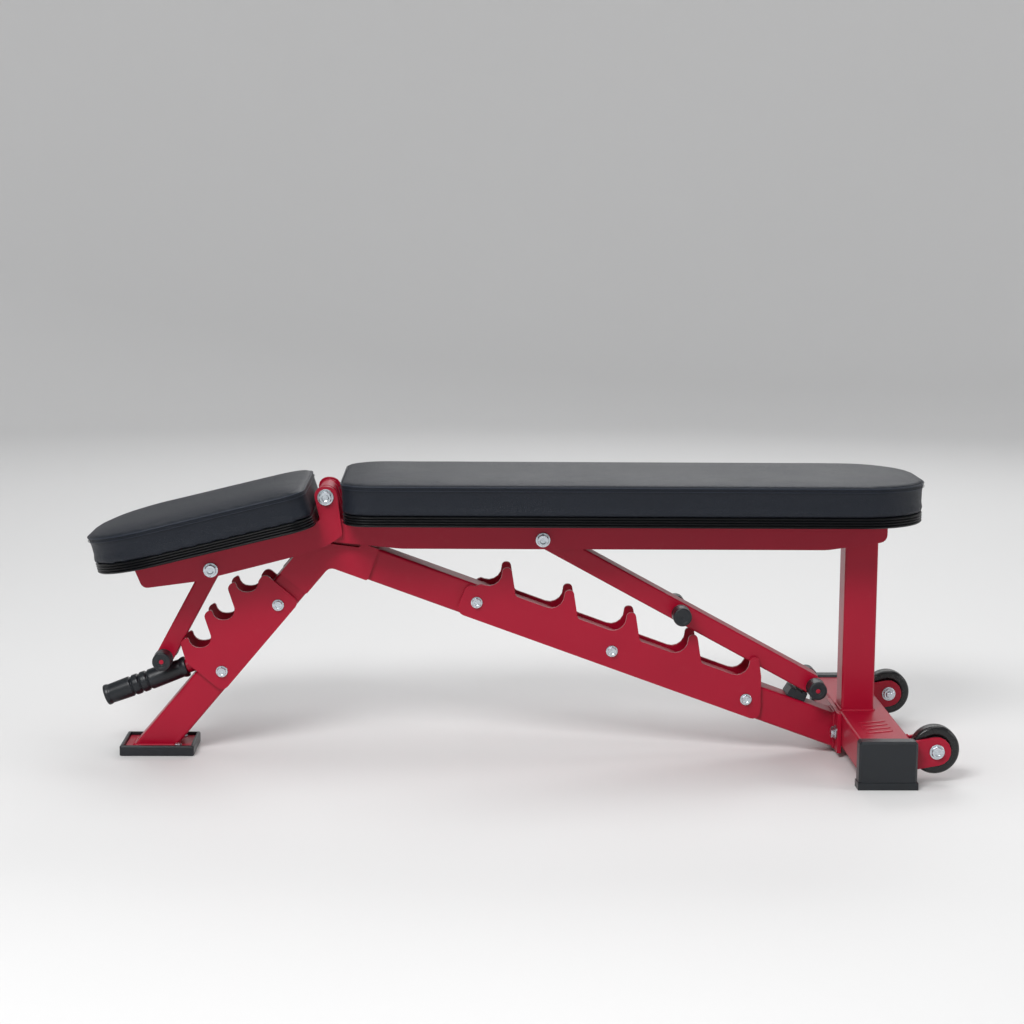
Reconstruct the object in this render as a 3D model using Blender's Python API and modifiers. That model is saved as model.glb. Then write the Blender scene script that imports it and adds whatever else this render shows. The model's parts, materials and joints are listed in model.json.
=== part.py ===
"""Adjustable weight bench: box-tube frame, hook ladders, folding seat and backrest.

The length of the bench runs along X, with the wheels at +X. The floor is Z = 0.
Lengths are in metres. Names ending in _REACH are measured along X from the hinge axis.
"""

import math

import bmesh
import bpy
from mathutils import Matrix, Vector

# Driving dimensions -------------------------------------------------------------------

GAP = 0.0003
TUBE = 0.050
TUBE_WALL = 0.0025
TUBE_CORNER = 0.004
PLATE = 0.006
ARC_STEP = math.radians(23)

HINGE_HEIGHT = 0.398
HINGE_BOLT_RADIUS = 0.0055
KNUCKLE_RADIUS = 0.014

APEX_REACH = -0.0042
APEX_HEIGHT = 0.3182
APEX_TOP_SLOPE = math.radians(7.3)
APEX_TOP_RISE = 0.0072
LEG_ANGLE = math.radians(50)
SPAR_ANGLE = math.radians(19.9)
GUSSET_LEG_LENGTH = 0.0728
GUSSET_SPAR_LENGTH = 0.0786

FRAME_BOLT_RADIUS = 0.005
LADDER_BOLT_RADIUS = 0.004
BOLT_CLEARANCE = 0.0004

BACK_HOOKS = 5
BACK_HOOK_PITCH = 0.1003
BACK_HOOK_START = 0.2690
BACK_HOOK_HEIGHT = 0.0652
BACK_HOOK_TIP = 0.0068
BACK_LADDER_START = 0.2200
BACK_LADDER_TAIL = 0.0080
BACK_LADDER_RAIL = 0.0290
BACK_LADDER_BOLTS = 3

SEAT_HOOKS = 3
SEAT_HOOK_PITCH = 0.0558
SEAT_HOOK_START = 0.1293
SEAT_HOOK_HEIGHT = 0.0702
SEAT_NOTCH_RADIUS = 0.0148
SEAT_LADDER_START = 0.0880
SEAT_LADDER_END = 0.2695
SEAT_BOLT_OFFSET = -0.0035

FOOT_LENGTH = 0.112
FOOT_SHIFT = 0.0045
FOOT_WIDTH = 0.095
FOOT_HEIGHT = 0.016
FOOT_WALL = 0.005
FOOT_FLOOR = 0.006
FOOT_PLATE = 0.005
FOOT_BOLT_RADIUS = 0.004

BASE_REACH = 0.8182
BASE_DEPTH = 0.076
BASE_HEIGHT = 0.050
BASE_CLEARANCE = 0.0173
BASE_WIDTH = 0.477
CAP_DEPTH = 0.0265
CAP_WALL = 0.0045
CAP_FOOT_HEIGHT = 0.0105
CAP_FOOT_LIP = 0.0012

FLANGE_WIDTH = 0.110
FLANGE_BOTTOM = 0.008
FLANGE_TOP = 0.069
FLANGE_BOLT_SPREAD = 0.080
FLANGE_BOLT_HEIGHT = 0.038

POST_REACH = 0.8088
POST_BUMPER = 0.012

WHEEL_REACH = 0.893
WHEEL_HEIGHT = 0.0500
WHEEL_RADIUS = 0.0355
WHEEL_WIDTH = 0.024
HUB_RADIUS = 0.0205
HUB_WIDTH = 0.029
BRACKET_OUTER = 0.2116
BRACKET_SPACE = 0.030
BRACKET_HALF_HEIGHT = 0.0210
BRACKET_DROP = 0.0065

HANDLE_START = 0.254
HANDLE_ANGLE = math.radians(20.3)
HANDLE_STUB = 0.030
HANDLE_LENGTH = 0.161
HANDLE_TUBE_RADIUS = 0.0110
GRIP_RADIUS = 0.0140
GRIP_RIB_RADIUS = 0.0160

BACK_PLATE_Y = 0.043
CHANNEL_BOTTOM = 0.3195
CHANNEL_TOP = 0.3640
CHANNEL_WEB = 0.005
CHANNEL_START = 0.0330
CHANNEL_END = 0.8422

SEAT_PLATE_Y = 0.052
SEAT_TILT = math.radians(13.8)
SEAT_DROP = 0.0320
SEAT_WEB = 0.004

BOARD = 0.012
BOARD_INSET = 0.012
PAD_WIDTH = 0.280
PAD_HEIGHT = 0.066
PAD_TOP_ROUND = 0.014
BACK_PAD_START = 0.0270
BACK_PAD_LENGTH = 0.8680
SEAT_PAD_START = 0.0166
SEAT_PAD_LENGTH = 0.3440
SEAT_PAD_HEIGHT = 0.062
PAD_SQUARE_CORNER = 0.030
PAD_ROUND_CORNER = 0.105

STRUT_DEPTH = 0.030
SEAT_STRUT_DEPTH = 0.027
STRUT_WIDTH = 0.046
STRUT_WALL = 0.0025
SLEEVE_RADIUS = 0.0120
BACK_STRUT_PIVOT = (0.3244, 0.3336)
BACK_STRUT_BAR = (0.7412, 0.1065)
BACK_STRUT_TAIL = 0.004
STRUT_GRIP_SHARE = 0.504
SEAT_STRUT_PIVOT = (-0.1714, 0.2878)
SEAT_STRUT_BAR = (-0.2459, 0.1490)
BAR_RADIUS = 0.0110
BAR_HALF_LENGTH = 0.0640
BAR_CAP_RADIUS = 0.0140
BAR_CAP_LENGTH = 0.0300
BAR_CAP_END = 0.0015

REST_BUMPER_REACH = 0.7135
REST_BUMPER_LENGTH = 0.030
REST_BUMPER_WIDTH = 0.044
REST_BUMPER_HEIGHT = 0.014
REST_BUMPER_RIBS = 3

# Places worked out from the driving dimensions ----------------------------------------


def seat_point(along, above):
    """A point of the seat's own frame, as X from the hinge and Z from the floor."""
    x = -math.cos(SEAT_TILT) * along - math.sin(SEAT_TILT) * above
    z = HINGE_HEIGHT - math.sin(SEAT_TILT) * along + math.cos(SEAT_TILT) * above
    return x, z


FRONT_REACH = -seat_point(SEAT_PAD_START + SEAT_PAD_LENGTH, SEAT_PAD_HEIGHT - SEAT_DROP - PAD_TOP_ROUND)[0]
REAR_REACH = max(WHEEL_REACH + WHEEL_RADIUS, BACK_PAD_START + BACK_PAD_LENGTH)
HINGE_X = (FRONT_REACH - REAR_REACH) / 2
HINGE = Vector((HINGE_X, 0, HINGE_HEIGHT))
HALF_TUBE = TUBE / 2
PLATE_IN = HALF_TUBE + GAP
PLATE_OUT = PLATE_IN + PLATE


def at(reach, height, y=0.0):
    return Vector((HINGE_X + reach, y, height))


APEX = at(APEX_REACH, APEX_HEIGHT)
LEG_ALONG = Vector((-math.cos(LEG_ANGLE), 0, -math.sin(LEG_ANGLE)))
LEG_OUT = Vector((-math.sin(LEG_ANGLE), 0, math.cos(LEG_ANGLE)))
SPAR_ALONG = Vector((math.cos(SPAR_ANGLE), 0, -math.sin(SPAR_ANGLE)))
SPAR_OUT = Vector((math.sin(SPAR_ANGLE), 0, math.cos(SPAR_ANGLE)))
TOP_ALONG = Vector((math.cos(APEX_TOP_SLOPE), 0, -math.sin(APEX_TOP_SLOPE)))
TOP_OUT = Vector((math.sin(APEX_TOP_SLOPE), 0, math.cos(APEX_TOP_SLOPE)))
TOP_POINT = APEX + TOP_OUT * APEX_TOP_RISE
SEAT_DOWN = Vector((math.sin(SEAT_TILT), 0, -math.cos(SEAT_TILT)))
BASE_TOP = BASE_CLEARANCE + BASE_HEIGHT
BASE_FRONT = BASE_REACH - BASE_DEPTH / 2
BASE_REAR = BASE_REACH + BASE_DEPTH / 2
FLANGE_FRONT = BASE_FRONT - GAP - PLATE


def leg_point(along, out):
    return APEX + LEG_ALONG * along + LEG_OUT * out


def spar_point(along, out):
    return APEX + SPAR_ALONG * along + SPAR_OUT * out


def seat_vector(along, above):
    x, z = seat_point(along, above)
    return at(x, z)


def meeting(point, direction, other_point, other_direction):
    """Where two lines of the XZ plane cross."""
    cross = direction.x * other_direction.z - direction.z * other_direction.x
    apart = other_point - point
    share = (apart.x * other_direction.z - apart.z * other_direction.x) / cross
    return point + direction * share


# Scene, collections and materials -----------------------------------------------------


def clear_scene():
    for obj in list(bpy.data.objects):
        bpy.data.objects.remove(obj, do_unlink=True)


def collection(name, hidden):
    group = bpy.data.collections.new(name)
    bpy.context.scene.collection.children.link(group)
    group.hide_render = hidden
    return group


def finish(name, colour, roughness, metallic):
    made = bpy.data.materials.new(name)
    made.use_nodes = True
    shader = made.node_tree.nodes["Principled BSDF"]
    shader.inputs["Base Color"].default_value = (*colour, 1)
    shader.inputs["Roughness"].default_value = roughness
    shader.inputs["Metallic"].default_value = metallic
    return made


clear_scene()
PARTS = collection("weight_bench", hidden=False)
CUTTERS = collection("cutters", hidden=True)
PAINT = finish("red_powder_coat", (0.33, 0.012, 0.035), 0.38, 0.0)
ZINC = finish("zinc_plate", (0.62, 0.65, 0.68), 0.28, 1.0)
RUBBER = finish("black_rubber", (0.018, 0.019, 0.022), 0.55, 0.0)
VINYL = finish("black_vinyl", (0.022, 0.024, 0.028), 0.42, 0.0)
PLYWOOD = finish("plywood", (0.42, 0.29, 0.17), 0.7, 0.0)
HUB_PLASTIC = finish("hub_plastic", (0.03, 0.03, 0.033), 0.4, 0.0)


# Shape helpers ------------------------------------------------------------------------


def place(obj, material):
    group = PARTS if material else CUTTERS
    for old in list(obj.users_collection):
        old.objects.unlink(obj)
    group.objects.link(obj)
    if material:
        obj.data.materials.append(material)
    else:
        obj.hide_render = True
        obj.display_type = "WIRE"
    return obj


def from_bmesh(name, bm, material):
    bmesh.ops.recalc_face_normals(bm, faces=bm.faces)
    mesh = bpy.data.meshes.new(name)
    bm.to_mesh(mesh)
    bm.free()
    mesh.shade_smooth()
    mesh.set_sharp_from_angle(angle=math.radians(32))
    return place(bpy.data.objects.new(name, mesh), material)


def box(name, low, high, material, round_edges=0.0):
    bm = bmesh.new()
    size = [high[i] - low[i] for i in range(3)]
    middle = [(high[i] + low[i]) / 2 for i in range(3)]
    bmesh.ops.create_cube(bm, size=1, matrix=Matrix.Translation(middle) @ Matrix.Diagonal((*size, 1)))
    obj = from_bmesh(name, bm, material)
    if round_edges:
        soften(obj, round_edges)
    return obj


def rod(name, start, end, radius, material, sides=20):
    """A plain cylinder between two points."""
    axis = Vector(end) - Vector(start)
    turn = axis.to_track_quat("Z", "Y").to_matrix().to_4x4()
    bm = bmesh.new()
    bmesh.ops.create_cone(
        bm,
        cap_ends=True,
        segments=sides,
        radius1=radius,
        radius2=radius,
        depth=axis.length,
        matrix=Matrix.Translation((Vector(start) + Vector(end)) / 2) @ turn,
    )
    return from_bmesh(name, bm, material)


def soften(obj, width, segments=1):
    bevel = obj.modifiers.new("edge", "BEVEL")
    bevel.width = width
    bevel.segments = segments
    bevel.limit_method = "ANGLE"
    bevel.angle_limit = math.radians(40)


def boolean(obj, other, operation):
    step = obj.modifiers.new(operation.lower(), "BOOLEAN")
    step.operation = operation
    step.solver = "EXACT"
    step.object = other


def cut(obj, cutter):
    boolean(obj, cutter, "DIFFERENCE")


def join(obj, piece):
    boolean(obj, piece, "UNION")


def drill(obj, start, end, radius, sides=16):
    cut(obj, rod(obj.name + "_drill", start, end, radius, None, sides))


def drill_across(obj, point, radius, half_width=0.08, sides=16):
    """A round hole along Y."""
    drill(obj, (point.x, -half_width, point.z), (point.x, half_width, point.z), radius, sides)


def cut_beyond(obj, point, normal):
    """Removes everything of the object on the side that the normal points to."""
    size = 0.5
    turn = normal.to_track_quat("Z", "Y").to_matrix().to_4x4()
    bm = bmesh.new()
    middle = Matrix.Translation(point + normal.normalized() * size / 2)
    bmesh.ops.create_cube(bm, size=size, matrix=middle @ turn)
    cut(obj, from_bmesh(obj.name + "_trim", bm, None))


def rounded(corners):
    """An outline in plan from (x, y, radius) corners, with each corner turned into an arc."""
    outline = []
    count = len(corners)
    for index, (x, y, radius) in enumerate(corners):
        here = Vector((x, y))
        back = (Vector(corners[index - 1][:2]) - here).normalized()
        ahead = (Vector(corners[(index + 1) % count][:2]) - here).normalized()
        opening = back.angle(ahead)
        if radius <= 0 or opening > math.pi - 0.02:
            outline.append(here)
            continue
        centre = here + (back + ahead).normalized() * (radius / math.sin(opening / 2))
        reach = radius / math.tan(opening / 2)
        first = here + back * reach - centre
        last = here + ahead * reach - centre
        sweep = first.angle_signed(last)
        steps = max(1, math.ceil(abs(sweep) / ARC_STEP))
        for step in range(steps + 1):
            outline.append(centre + Matrix.Rotation(-sweep * step / steps, 2) @ first)
    return outline


def circle(x, y, radius, sides=16):
    turns = [math.tau * step / sides for step in range(sides)]
    return [Vector((x + radius * math.cos(turn), y + radius * math.sin(turn))) for turn in turns]


def slab(name, outlines, thickness, matrix, material):
    """A flat outline with holes, given thickness both ways and then placed by the matrix."""
    data = bpy.data.curves.new(name + "_outline", "CURVE")
    data.dimensions = "2D"
    data.fill_mode = "BOTH"
    data.extrude = thickness / 2
    for outline in outlines:
        spline = data.splines.new("POLY")
        spline.points.add(len(outline) - 1)
        for point, corner in zip(spline.points, outline):
            point.co = (corner.x, corner.y, 0, 1)
        spline.use_cyclic_u = True
    guide = bpy.data.objects.new(name + "_outline", data)
    bpy.context.scene.collection.objects.link(guide)
    bpy.context.view_layer.update()
    graph = bpy.context.evaluated_depsgraph_get()
    mesh = bpy.data.meshes.new_from_object(guide.evaluated_get(graph))
    bpy.data.objects.remove(guide, do_unlink=True)
    bpy.data.curves.remove(data)
    bm = bmesh.new()
    bm.from_mesh(mesh)
    bpy.data.meshes.remove(mesh)
    bmesh.ops.remove_doubles(bm, verts=bm.verts, dist=1e-6)
    bmesh.ops.dissolve_limit(
        bm, angle_limit=math.radians(1), verts=bm.verts, edges=bm.edges, delimit={"NORMAL"}
    )
    bmesh.ops.transform(bm, matrix=matrix, verts=bm.verts)
    return from_bmesh(name, bm, material)


def side_plate(name, corners, y_low, y_high, material, holes=()):
    """A plate in the XZ plane. Its corners are (point, radius), its holes (point, radius)."""
    outline = rounded([(point.x, point.z, radius) for point, radius in corners])
    openings = [circle(point.x, point.z, radius) for point, radius in holes]
    upright = Matrix.Translation((0, (y_low + y_high) / 2, 0)) @ Matrix.Rotation(math.pi / 2, 4, "X")
    plate = slab(name, [outline, *openings], y_high - y_low, upright, material)
    return plate


def box_tube(name, start, end, depth, width, wall, material, corner=TUBE_CORNER):
    """A square or flat tube whose middle line runs from start to end in the XZ plane."""
    along = (end - start).normalized()
    out = Vector((0, 1, 0)).cross(along)
    turn = Matrix((Vector((0, 1, 0)), out, along)).transposed().to_4x4()
    if turn.determinant() < 0:
        turn = turn @ Matrix.Diagonal((-1, 1, 1, 1))
    half_width, half_depth = width / 2, depth / 2
    sections = []
    for inset in (0, wall):
        across, up = half_width - inset, half_depth - inset
        radius = max(corner - inset, 0.0005)
        square = [(-across, -up, radius), (across, -up, radius), (across, up, radius), (-across, up, radius)]
        sections.append(rounded(square))
    matrix = Matrix.Translation((start + end) / 2) @ turn
    return slab(name, sections, (end - start).length, matrix, material)


def turned(name, profile, start, direction, material, steps=20):
    """A turned piece from (distance along the axis, radius) points, outer side first."""
    bm = bmesh.new()
    points = [bm.verts.new((radius, 0, along)) for along, radius in profile]
    for first, second in zip(points, points[1:]):
        bm.edges.new((first, second))
    if profile[0][1] > 0:
        bm.edges.new((points[-1], points[0]))
    mesh = bpy.data.meshes.new(name)
    bm.to_mesh(mesh)
    bm.free()
    obj = place(bpy.data.objects.new(name, mesh), material)
    turn = Vector(direction).to_track_quat("Z", "Y").to_matrix().to_4x4()
    obj.matrix_world = Matrix.Translation(start) @ turn
    screw = obj.modifiers.new("turn", "SCREW")
    screw.steps = steps
    screw.render_steps = steps
    screw.use_merge_vertices = True
    screw.merge_threshold = 0.00001
    screw.use_smooth_shade = True
    return obj


def ring_of(radius, sides_flat):
    """Twelve points round the Y axis: a circle, or a hexagon with a point in each side."""
    points = []
    for step in range(12):
        turn = math.tau * step / 12
        flat = sides_flat and step % 2
        reach = radius * math.cos(math.pi / 6) if flat else radius
        points.append((reach * math.cos(turn), reach * math.sin(turn)))
    return points


def through_bolt(name, centre, axis, near, far, radius, nut=True):
    """A hexagon bolt lying along the axis: head and washer at near, washer and nut at far."""
    head, washer = radius * 1.75, radius * 2.2
    head_depth, washer_depth = radius * 1.2, 0.0016
    sections = [(near - washer_depth - head_depth, head, True), (near - washer_depth, head, True)]
    sections += [(near, washer, False), (near, radius, False), (far, radius, False)]
    if nut:
        sections += [(far, washer, False), (far + washer_depth, head, True)]
        sections += [(far + washer_depth + head_depth, head, True)]
    turn = Vector(axis).to_track_quat("Z", "Y").to_matrix().to_4x4()
    bm = bmesh.new()
    rings = []
    for along, reach, flat in sections:
        rings.append([bm.verts.new((x, y, along)) for x, y in ring_of(reach, flat)])
    for low, high in zip(rings, rings[1:]):
        for step in range(12):
            ahead = (step + 1) % 12
            bm.faces.new((low[step], low[ahead], high[ahead], high[step]))
    bm.faces.new(rings[0])
    bm.faces.new(rings[-1])
    bmesh.ops.transform(bm, matrix=Matrix.Translation(centre) @ turn, verts=bm.verts)
    return from_bmesh(name, bm, ZINC)


def empty_at(name, point):
    pivot = bpy.data.objects.new(name, None)
    PARTS.objects.link(pivot)
    pivot.location = point
    return pivot


def hang(pivot, pieces):
    """Parents the pieces to a joint's empty and leaves them where they are."""
    bpy.context.view_layer.update()
    for piece in pieces:
        stay = piece.matrix_world.copy()
        piece.parent = pivot
        piece.matrix_parent_inverse = pivot.matrix_world.inverted()
        piece.matrix_world = stay


SIDES = (("near", -1), ("far", 1))


def both_sides(inner, outer, side):
    """The low and high Y of a piece that lies between two distances from the middle."""
    return (inner, outer) if side > 0 else (-outer, -inner)


# Fixed frame --------------------------------------------------------------------------


def seat_bolt_points():
    margin = 0.024
    places = (SEAT_LADDER_START + margin, SEAT_LADDER_END - margin)
    return [leg_point(along, SEAT_BOLT_OFFSET) for along in places]


def back_bolt_points():
    first = BACK_LADDER_START + 0.0245
    last = BACK_HOOK_START + (BACK_HOOKS - 1) * BACK_HOOK_PITCH + 0.011
    step = (last - first) / (BACK_LADDER_BOLTS - 1)
    return [spar_point(first + step * index, 0) for index in range(BACK_LADDER_BOLTS)]


def make_leg_and_spar():
    foot = meeting(APEX, LEG_ALONG, at(0, foot_top()), Vector((1, 0, 0)))
    leg = box_tube(
        "front_leg", APEX - LEG_ALONG * TUBE, foot + LEG_ALONG * TUBE, TUBE, TUBE, TUBE_WALL, PAINT
    )
    tail = meeting(APEX, SPAR_ALONG, at(FLANGE_FRONT - GAP, 0), Vector((0, 0, 1)))
    spar = box_tube(
        "rear_spar", APEX - SPAR_ALONG * TUBE, tail + SPAR_ALONG * TUBE, TUBE, TUBE, TUBE_WALL, PAINT
    )
    mitre = (LEG_ALONG - SPAR_ALONG).normalized()
    cut_beyond(leg, APEX + mitre * GAP / 2, -mitre)
    cut_beyond(spar, APEX - mitre * GAP / 2, mitre)
    cut_beyond(leg, foot + Vector((0, 0, GAP)), Vector((0, 0, -1)))
    cut_beyond(spar, tail, Vector((1, 0, 0)))
    for tube in (leg, spar):
        cut_beyond(tube, TOP_POINT, TOP_OUT)
    for point in seat_bolt_points():
        drill_across(leg, point, LADDER_BOLT_RADIUS + BOLT_CLEARANCE)
    for point in back_bolt_points():
        drill_across(spar, point, LADDER_BOLT_RADIUS + BOLT_CLEARANCE)


def make_gussets():
    lip = 0.0005
    out, inner = HALF_TUBE + lip, -(HALF_TUBE + lip)
    corner = meeting(leg_point(0, inner), LEG_ALONG, spar_point(0, inner), SPAR_ALONG)
    top = TOP_POINT - TOP_OUT * GAP
    leg_top = meeting(leg_point(0, out), LEG_ALONG, top, TOP_ALONG)
    spar_top = meeting(spar_point(0, out), SPAR_ALONG, top, TOP_ALONG)
    corners = [
        (leg_point(GUSSET_LEG_LENGTH, out), 0.002),
        (leg_point(GUSSET_LEG_LENGTH, inner), 0.004),
        (corner, 0.012),
        (spar_point(GUSSET_SPAR_LENGTH, inner), 0.004),
        (spar_point(GUSSET_SPAR_LENGTH, out), 0.002),
        (spar_top, 0.004),
        (leg_top, 0.006),
    ]
    for side_name, side in SIDES:
        low, high = both_sides(PLATE_IN, PLATE_OUT, side)
        side_plate("apex_gusset_" + side_name, corners, low, high, PAINT)


def make_pivot_tower():
    """The welded bracket that carries the hinge: a base plate, two cheeks and a cross bush."""
    base, cheek_in, cheek_out, bush = 0.005, 0.016, 0.022, 0.0225
    low = TOP_POINT + TOP_OUT * (GAP + base / 2)
    start = meeting(low, TOP_ALONG, leg_point(0, HALF_TUBE - 0.003), LEG_ALONG)
    end = meeting(low, TOP_ALONG, spar_point(0, HALF_TUBE - 0.003), SPAR_ALONG)
    shift = TOP_OUT * (base / 2)
    footprint = [(start - shift, 0), (end - shift, 0), (end + shift, 0), (start + shift, 0)]
    half = HALF_TUBE - 0.001
    tower = side_plate("pivot_tower", footprint, -half, half, PAINT)
    beside = seat_vector(KNUCKLE_RADIUS - 0.001, 0)
    left = meeting(beside, SEAT_DOWN, low, TOP_ALONG)
    right = left + TOP_ALONG * 0.036
    shoulder = meeting(beside, SEAT_DOWN, HINGE + Vector((0, 0, KNUCKLE_RADIUS - 0.002)), Vector((1, 0, 0)))
    for side_name, side in SIDES:
        y_low, y_high = both_sides(cheek_in, cheek_out, side)
        corners = [(left, 0), (right, 0)]
        corners += [(HINGE + Vector((KNUCKLE_RADIUS - 0.001, 0, KNUCKLE_RADIUS - 0.002)), 0.012)]
        corners += [(shoulder, 0.010)]
        join(tower, side_plate("tower_cheek_" + side_name, corners, y_low, y_high, None))
    join(tower, rod("tower_bush", HINGE - Vector((0, bush, 0)), HINGE + Vector((0, bush, 0)), KNUCKLE_RADIUS, None, 24))
    drill_across(tower, HINGE, HINGE_BOLT_RADIUS + BOLT_CLEARANCE)


def back_ladder_corners():
    """The hook plate of the backrest: a rail along the spar with upright hooks."""
    down = Vector((0, 0, 1))
    lean = Vector((math.sin(math.radians(9)), 0, -math.cos(math.radians(9))))
    rail = spar_point(0, BACK_LADDER_RAIL)
    bottom = -HALF_TUBE - 0.0005
    shoulder = HALF_TUBE - 0.0030
    corners = [
        (spar_point(BACK_LADDER_START, bottom), 0.012),
        (spar_point(BACK_LADDER_START + 0.0010, shoulder), 0.010),
        (spar_point(BACK_HOOK_START - 0.0350, shoulder), 0.003),
        (spar_point(BACK_HOOK_START - 0.0280, BACK_LADDER_RAIL), 0.003),
    ]
    for hook in range(BACK_HOOKS):
        tip = spar_point(BACK_HOOK_START + hook * BACK_HOOK_PITCH, BACK_HOOK_HEIGHT)
        left = tip - Vector((BACK_HOOK_TIP, 0, 0))
        right = tip + Vector((BACK_HOOK_TIP, 0, 0))
        corners.append((meeting(left, down, rail, SPAR_ALONG), 0.020))
        corners.append((left, BACK_HOOK_TIP - 0.0002))
        corners.append((right, BACK_HOOK_TIP - 0.0004))
        if hook < BACK_HOOKS - 1:
            corners.append((meeting(right, lean, rail, SPAR_ALONG), 0.006))
    tail = right + Vector((BACK_LADDER_TAIL - BACK_HOOK_TIP + 0.003, 0, -0.030))
    corners.append((tail, 0.008))
    corners.append((meeting(tail, down, spar_point(0, bottom), SPAR_ALONG), 0.012))
    return corners


def seat_ladder_corners():
    """The hook plate of the seat: round notches that open up and away from the leg."""
    bottom = -HALF_TUBE - 0.0005
    corners = [
        (leg_point(SEAT_LADDER_END, bottom), 0.012),
        (leg_point(SEAT_LADDER_START, bottom), 0.010),
        (leg_point(SEAT_LADDER_START, 0.044), 0.009),
    ]
    for hook in range(SEAT_HOOKS):
        tip = leg_point(SEAT_HOOK_START + hook * SEAT_HOOK_PITCH, SEAT_HOOK_HEIGHT)
        floor = tip.z - SEAT_NOTCH_RADIUS
        if hook == 0:
            corners.append((Vector((tip.x + 0.0380, 0, tip.z + 0.002)), 0.005))
        corners.append((Vector((tip.x + 0.0375, 0, floor)), SEAT_NOTCH_RADIUS))
        corners.append((Vector((tip.x + 0.0062, 0, floor)), SEAT_NOTCH_RADIUS))
        corners.append((Vector((tip.x + 0.0035, 0, tip.z + 0.002)), 0.003))
        corners.append((Vector((tip.x - 0.0090, 0, tip.z - 0.0060)), 0.008))
        if hook < SEAT_HOOKS - 1:
            corners.append((Vector((tip.x + 0.0018, 0, tip.z - 0.0390)), 0.003))
    corners.append((leg_point(SEAT_LADDER_END, 0.046), 0.014))
    return corners


def make_ladders():
    washer = PLATE_OUT + GAP
    seat_points, back_points = seat_bolt_points(), back_bolt_points()
    hole = LADDER_BOLT_RADIUS + BOLT_CLEARANCE
    for side_name, side in SIDES:
        low, high = both_sides(PLATE_IN, PLATE_OUT, side)
        seat_holes = [(point, hole) for point in seat_points]
        back_holes = [(point, hole) for point in back_points]
        side_plate("seat_ladder_" + side_name, seat_ladder_corners(), low, high, PAINT, seat_holes)
        side_plate("back_ladder_" + side_name, back_ladder_corners(), low, high, PAINT, back_holes)
    for index, point in enumerate(seat_points):
        through_bolt(f"seat_ladder_bolt_{index + 1}", point, (0, 1, 0), -washer, washer, LADDER_BOLT_RADIUS)
    for index, point in enumerate(back_points):
        through_bolt(f"back_ladder_bolt_{index + 1}", point, (0, 1, 0), -washer, washer, LADDER_BOLT_RADIUS)


def foot_top():
    return FOOT_FLOOR + GAP + FOOT_PLATE


def foot_middle():
    return meeting(APEX, LEG_ALONG, at(0, foot_top()), Vector((1, 0, 0))).x + FOOT_SHIFT


def make_front_foot():
    middle, half, wide = foot_middle(), FOOT_LENGTH / 2, FOOT_WIDTH / 2
    tray = box("front_foot", (middle - half, -wide, 0), (middle + half, wide, FOOT_HEIGHT), RUBBER, 0.0015)
    room = half - FOOT_WALL
    side_room = wide - FOOT_WALL
    pocket = box(
        "foot_pocket",
        (middle - room, -side_room, FOOT_FLOOR),
        (middle + room, side_room, FOOT_HEIGHT + 0.01),
        None,
    )
    cut(tray, pocket)
    low = (middle - room + GAP, -side_room + GAP, FOOT_FLOOR + GAP)
    high = (middle + room - GAP, side_room - GAP, foot_top())
    plate = box("foot_plate", low, high, PAINT, 0.0008)
    for side_name, side in SIDES:
        point = Vector((middle + half * 0.55, side * wide * 0.735, foot_top() + GAP))
        reach = FOOT_FLOOR * 0.5 - point.z
        through_bolt("foot_bolt_" + side_name, point, (0, 0, -1), 0, -reach, FOOT_BOLT_RADIUS * 0.8, nut=False)
        for piece in (plate, tray):
            low_end = (point.x, point.y, FOOT_FLOOR * 0.5 - GAP)
            drill(piece, low_end, (point.x, point.y, 0.03), FOOT_BOLT_RADIUS * 0.8 + BOLT_CLEARANCE, 12)


def make_rear_base():
    tube_end = BASE_WIDTH / 2 - CAP_WALL - GAP
    middle = BASE_CLEARANCE + BASE_HEIGHT / 2
    centre = at(BASE_REACH, middle)
    section = []
    for inset in (0, TUBE_WALL):
        across, up = BASE_DEPTH / 2 - inset, BASE_HEIGHT / 2 - inset
        radius = TUBE_CORNER - inset
        section.append(
            rounded([(-across, -up, radius), (across, -up, radius), (across, up, radius), (-across, up, radius)])
        )
    across_y = Matrix.Translation(centre) @ Matrix.Rotation(math.pi / 2, 4, "X")
    base = slab("rear_base_tube", section, tube_end * 2, across_y, PAINT)
    for side in (-1, 1):
        y = side * FLANGE_BOLT_SPREAD / 2
        start, end = at(BASE_FRONT - 0.01, FLANGE_BOLT_HEIGHT, y), at(BASE_FRONT + 0.01, FLANGE_BOLT_HEIGHT, y)
        drill(base, start, end, FRAME_BOLT_RADIUS + BOLT_CLEARANCE)
    for side_name, side in SIDES:
        make_base_cap(side_name, side)


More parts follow.
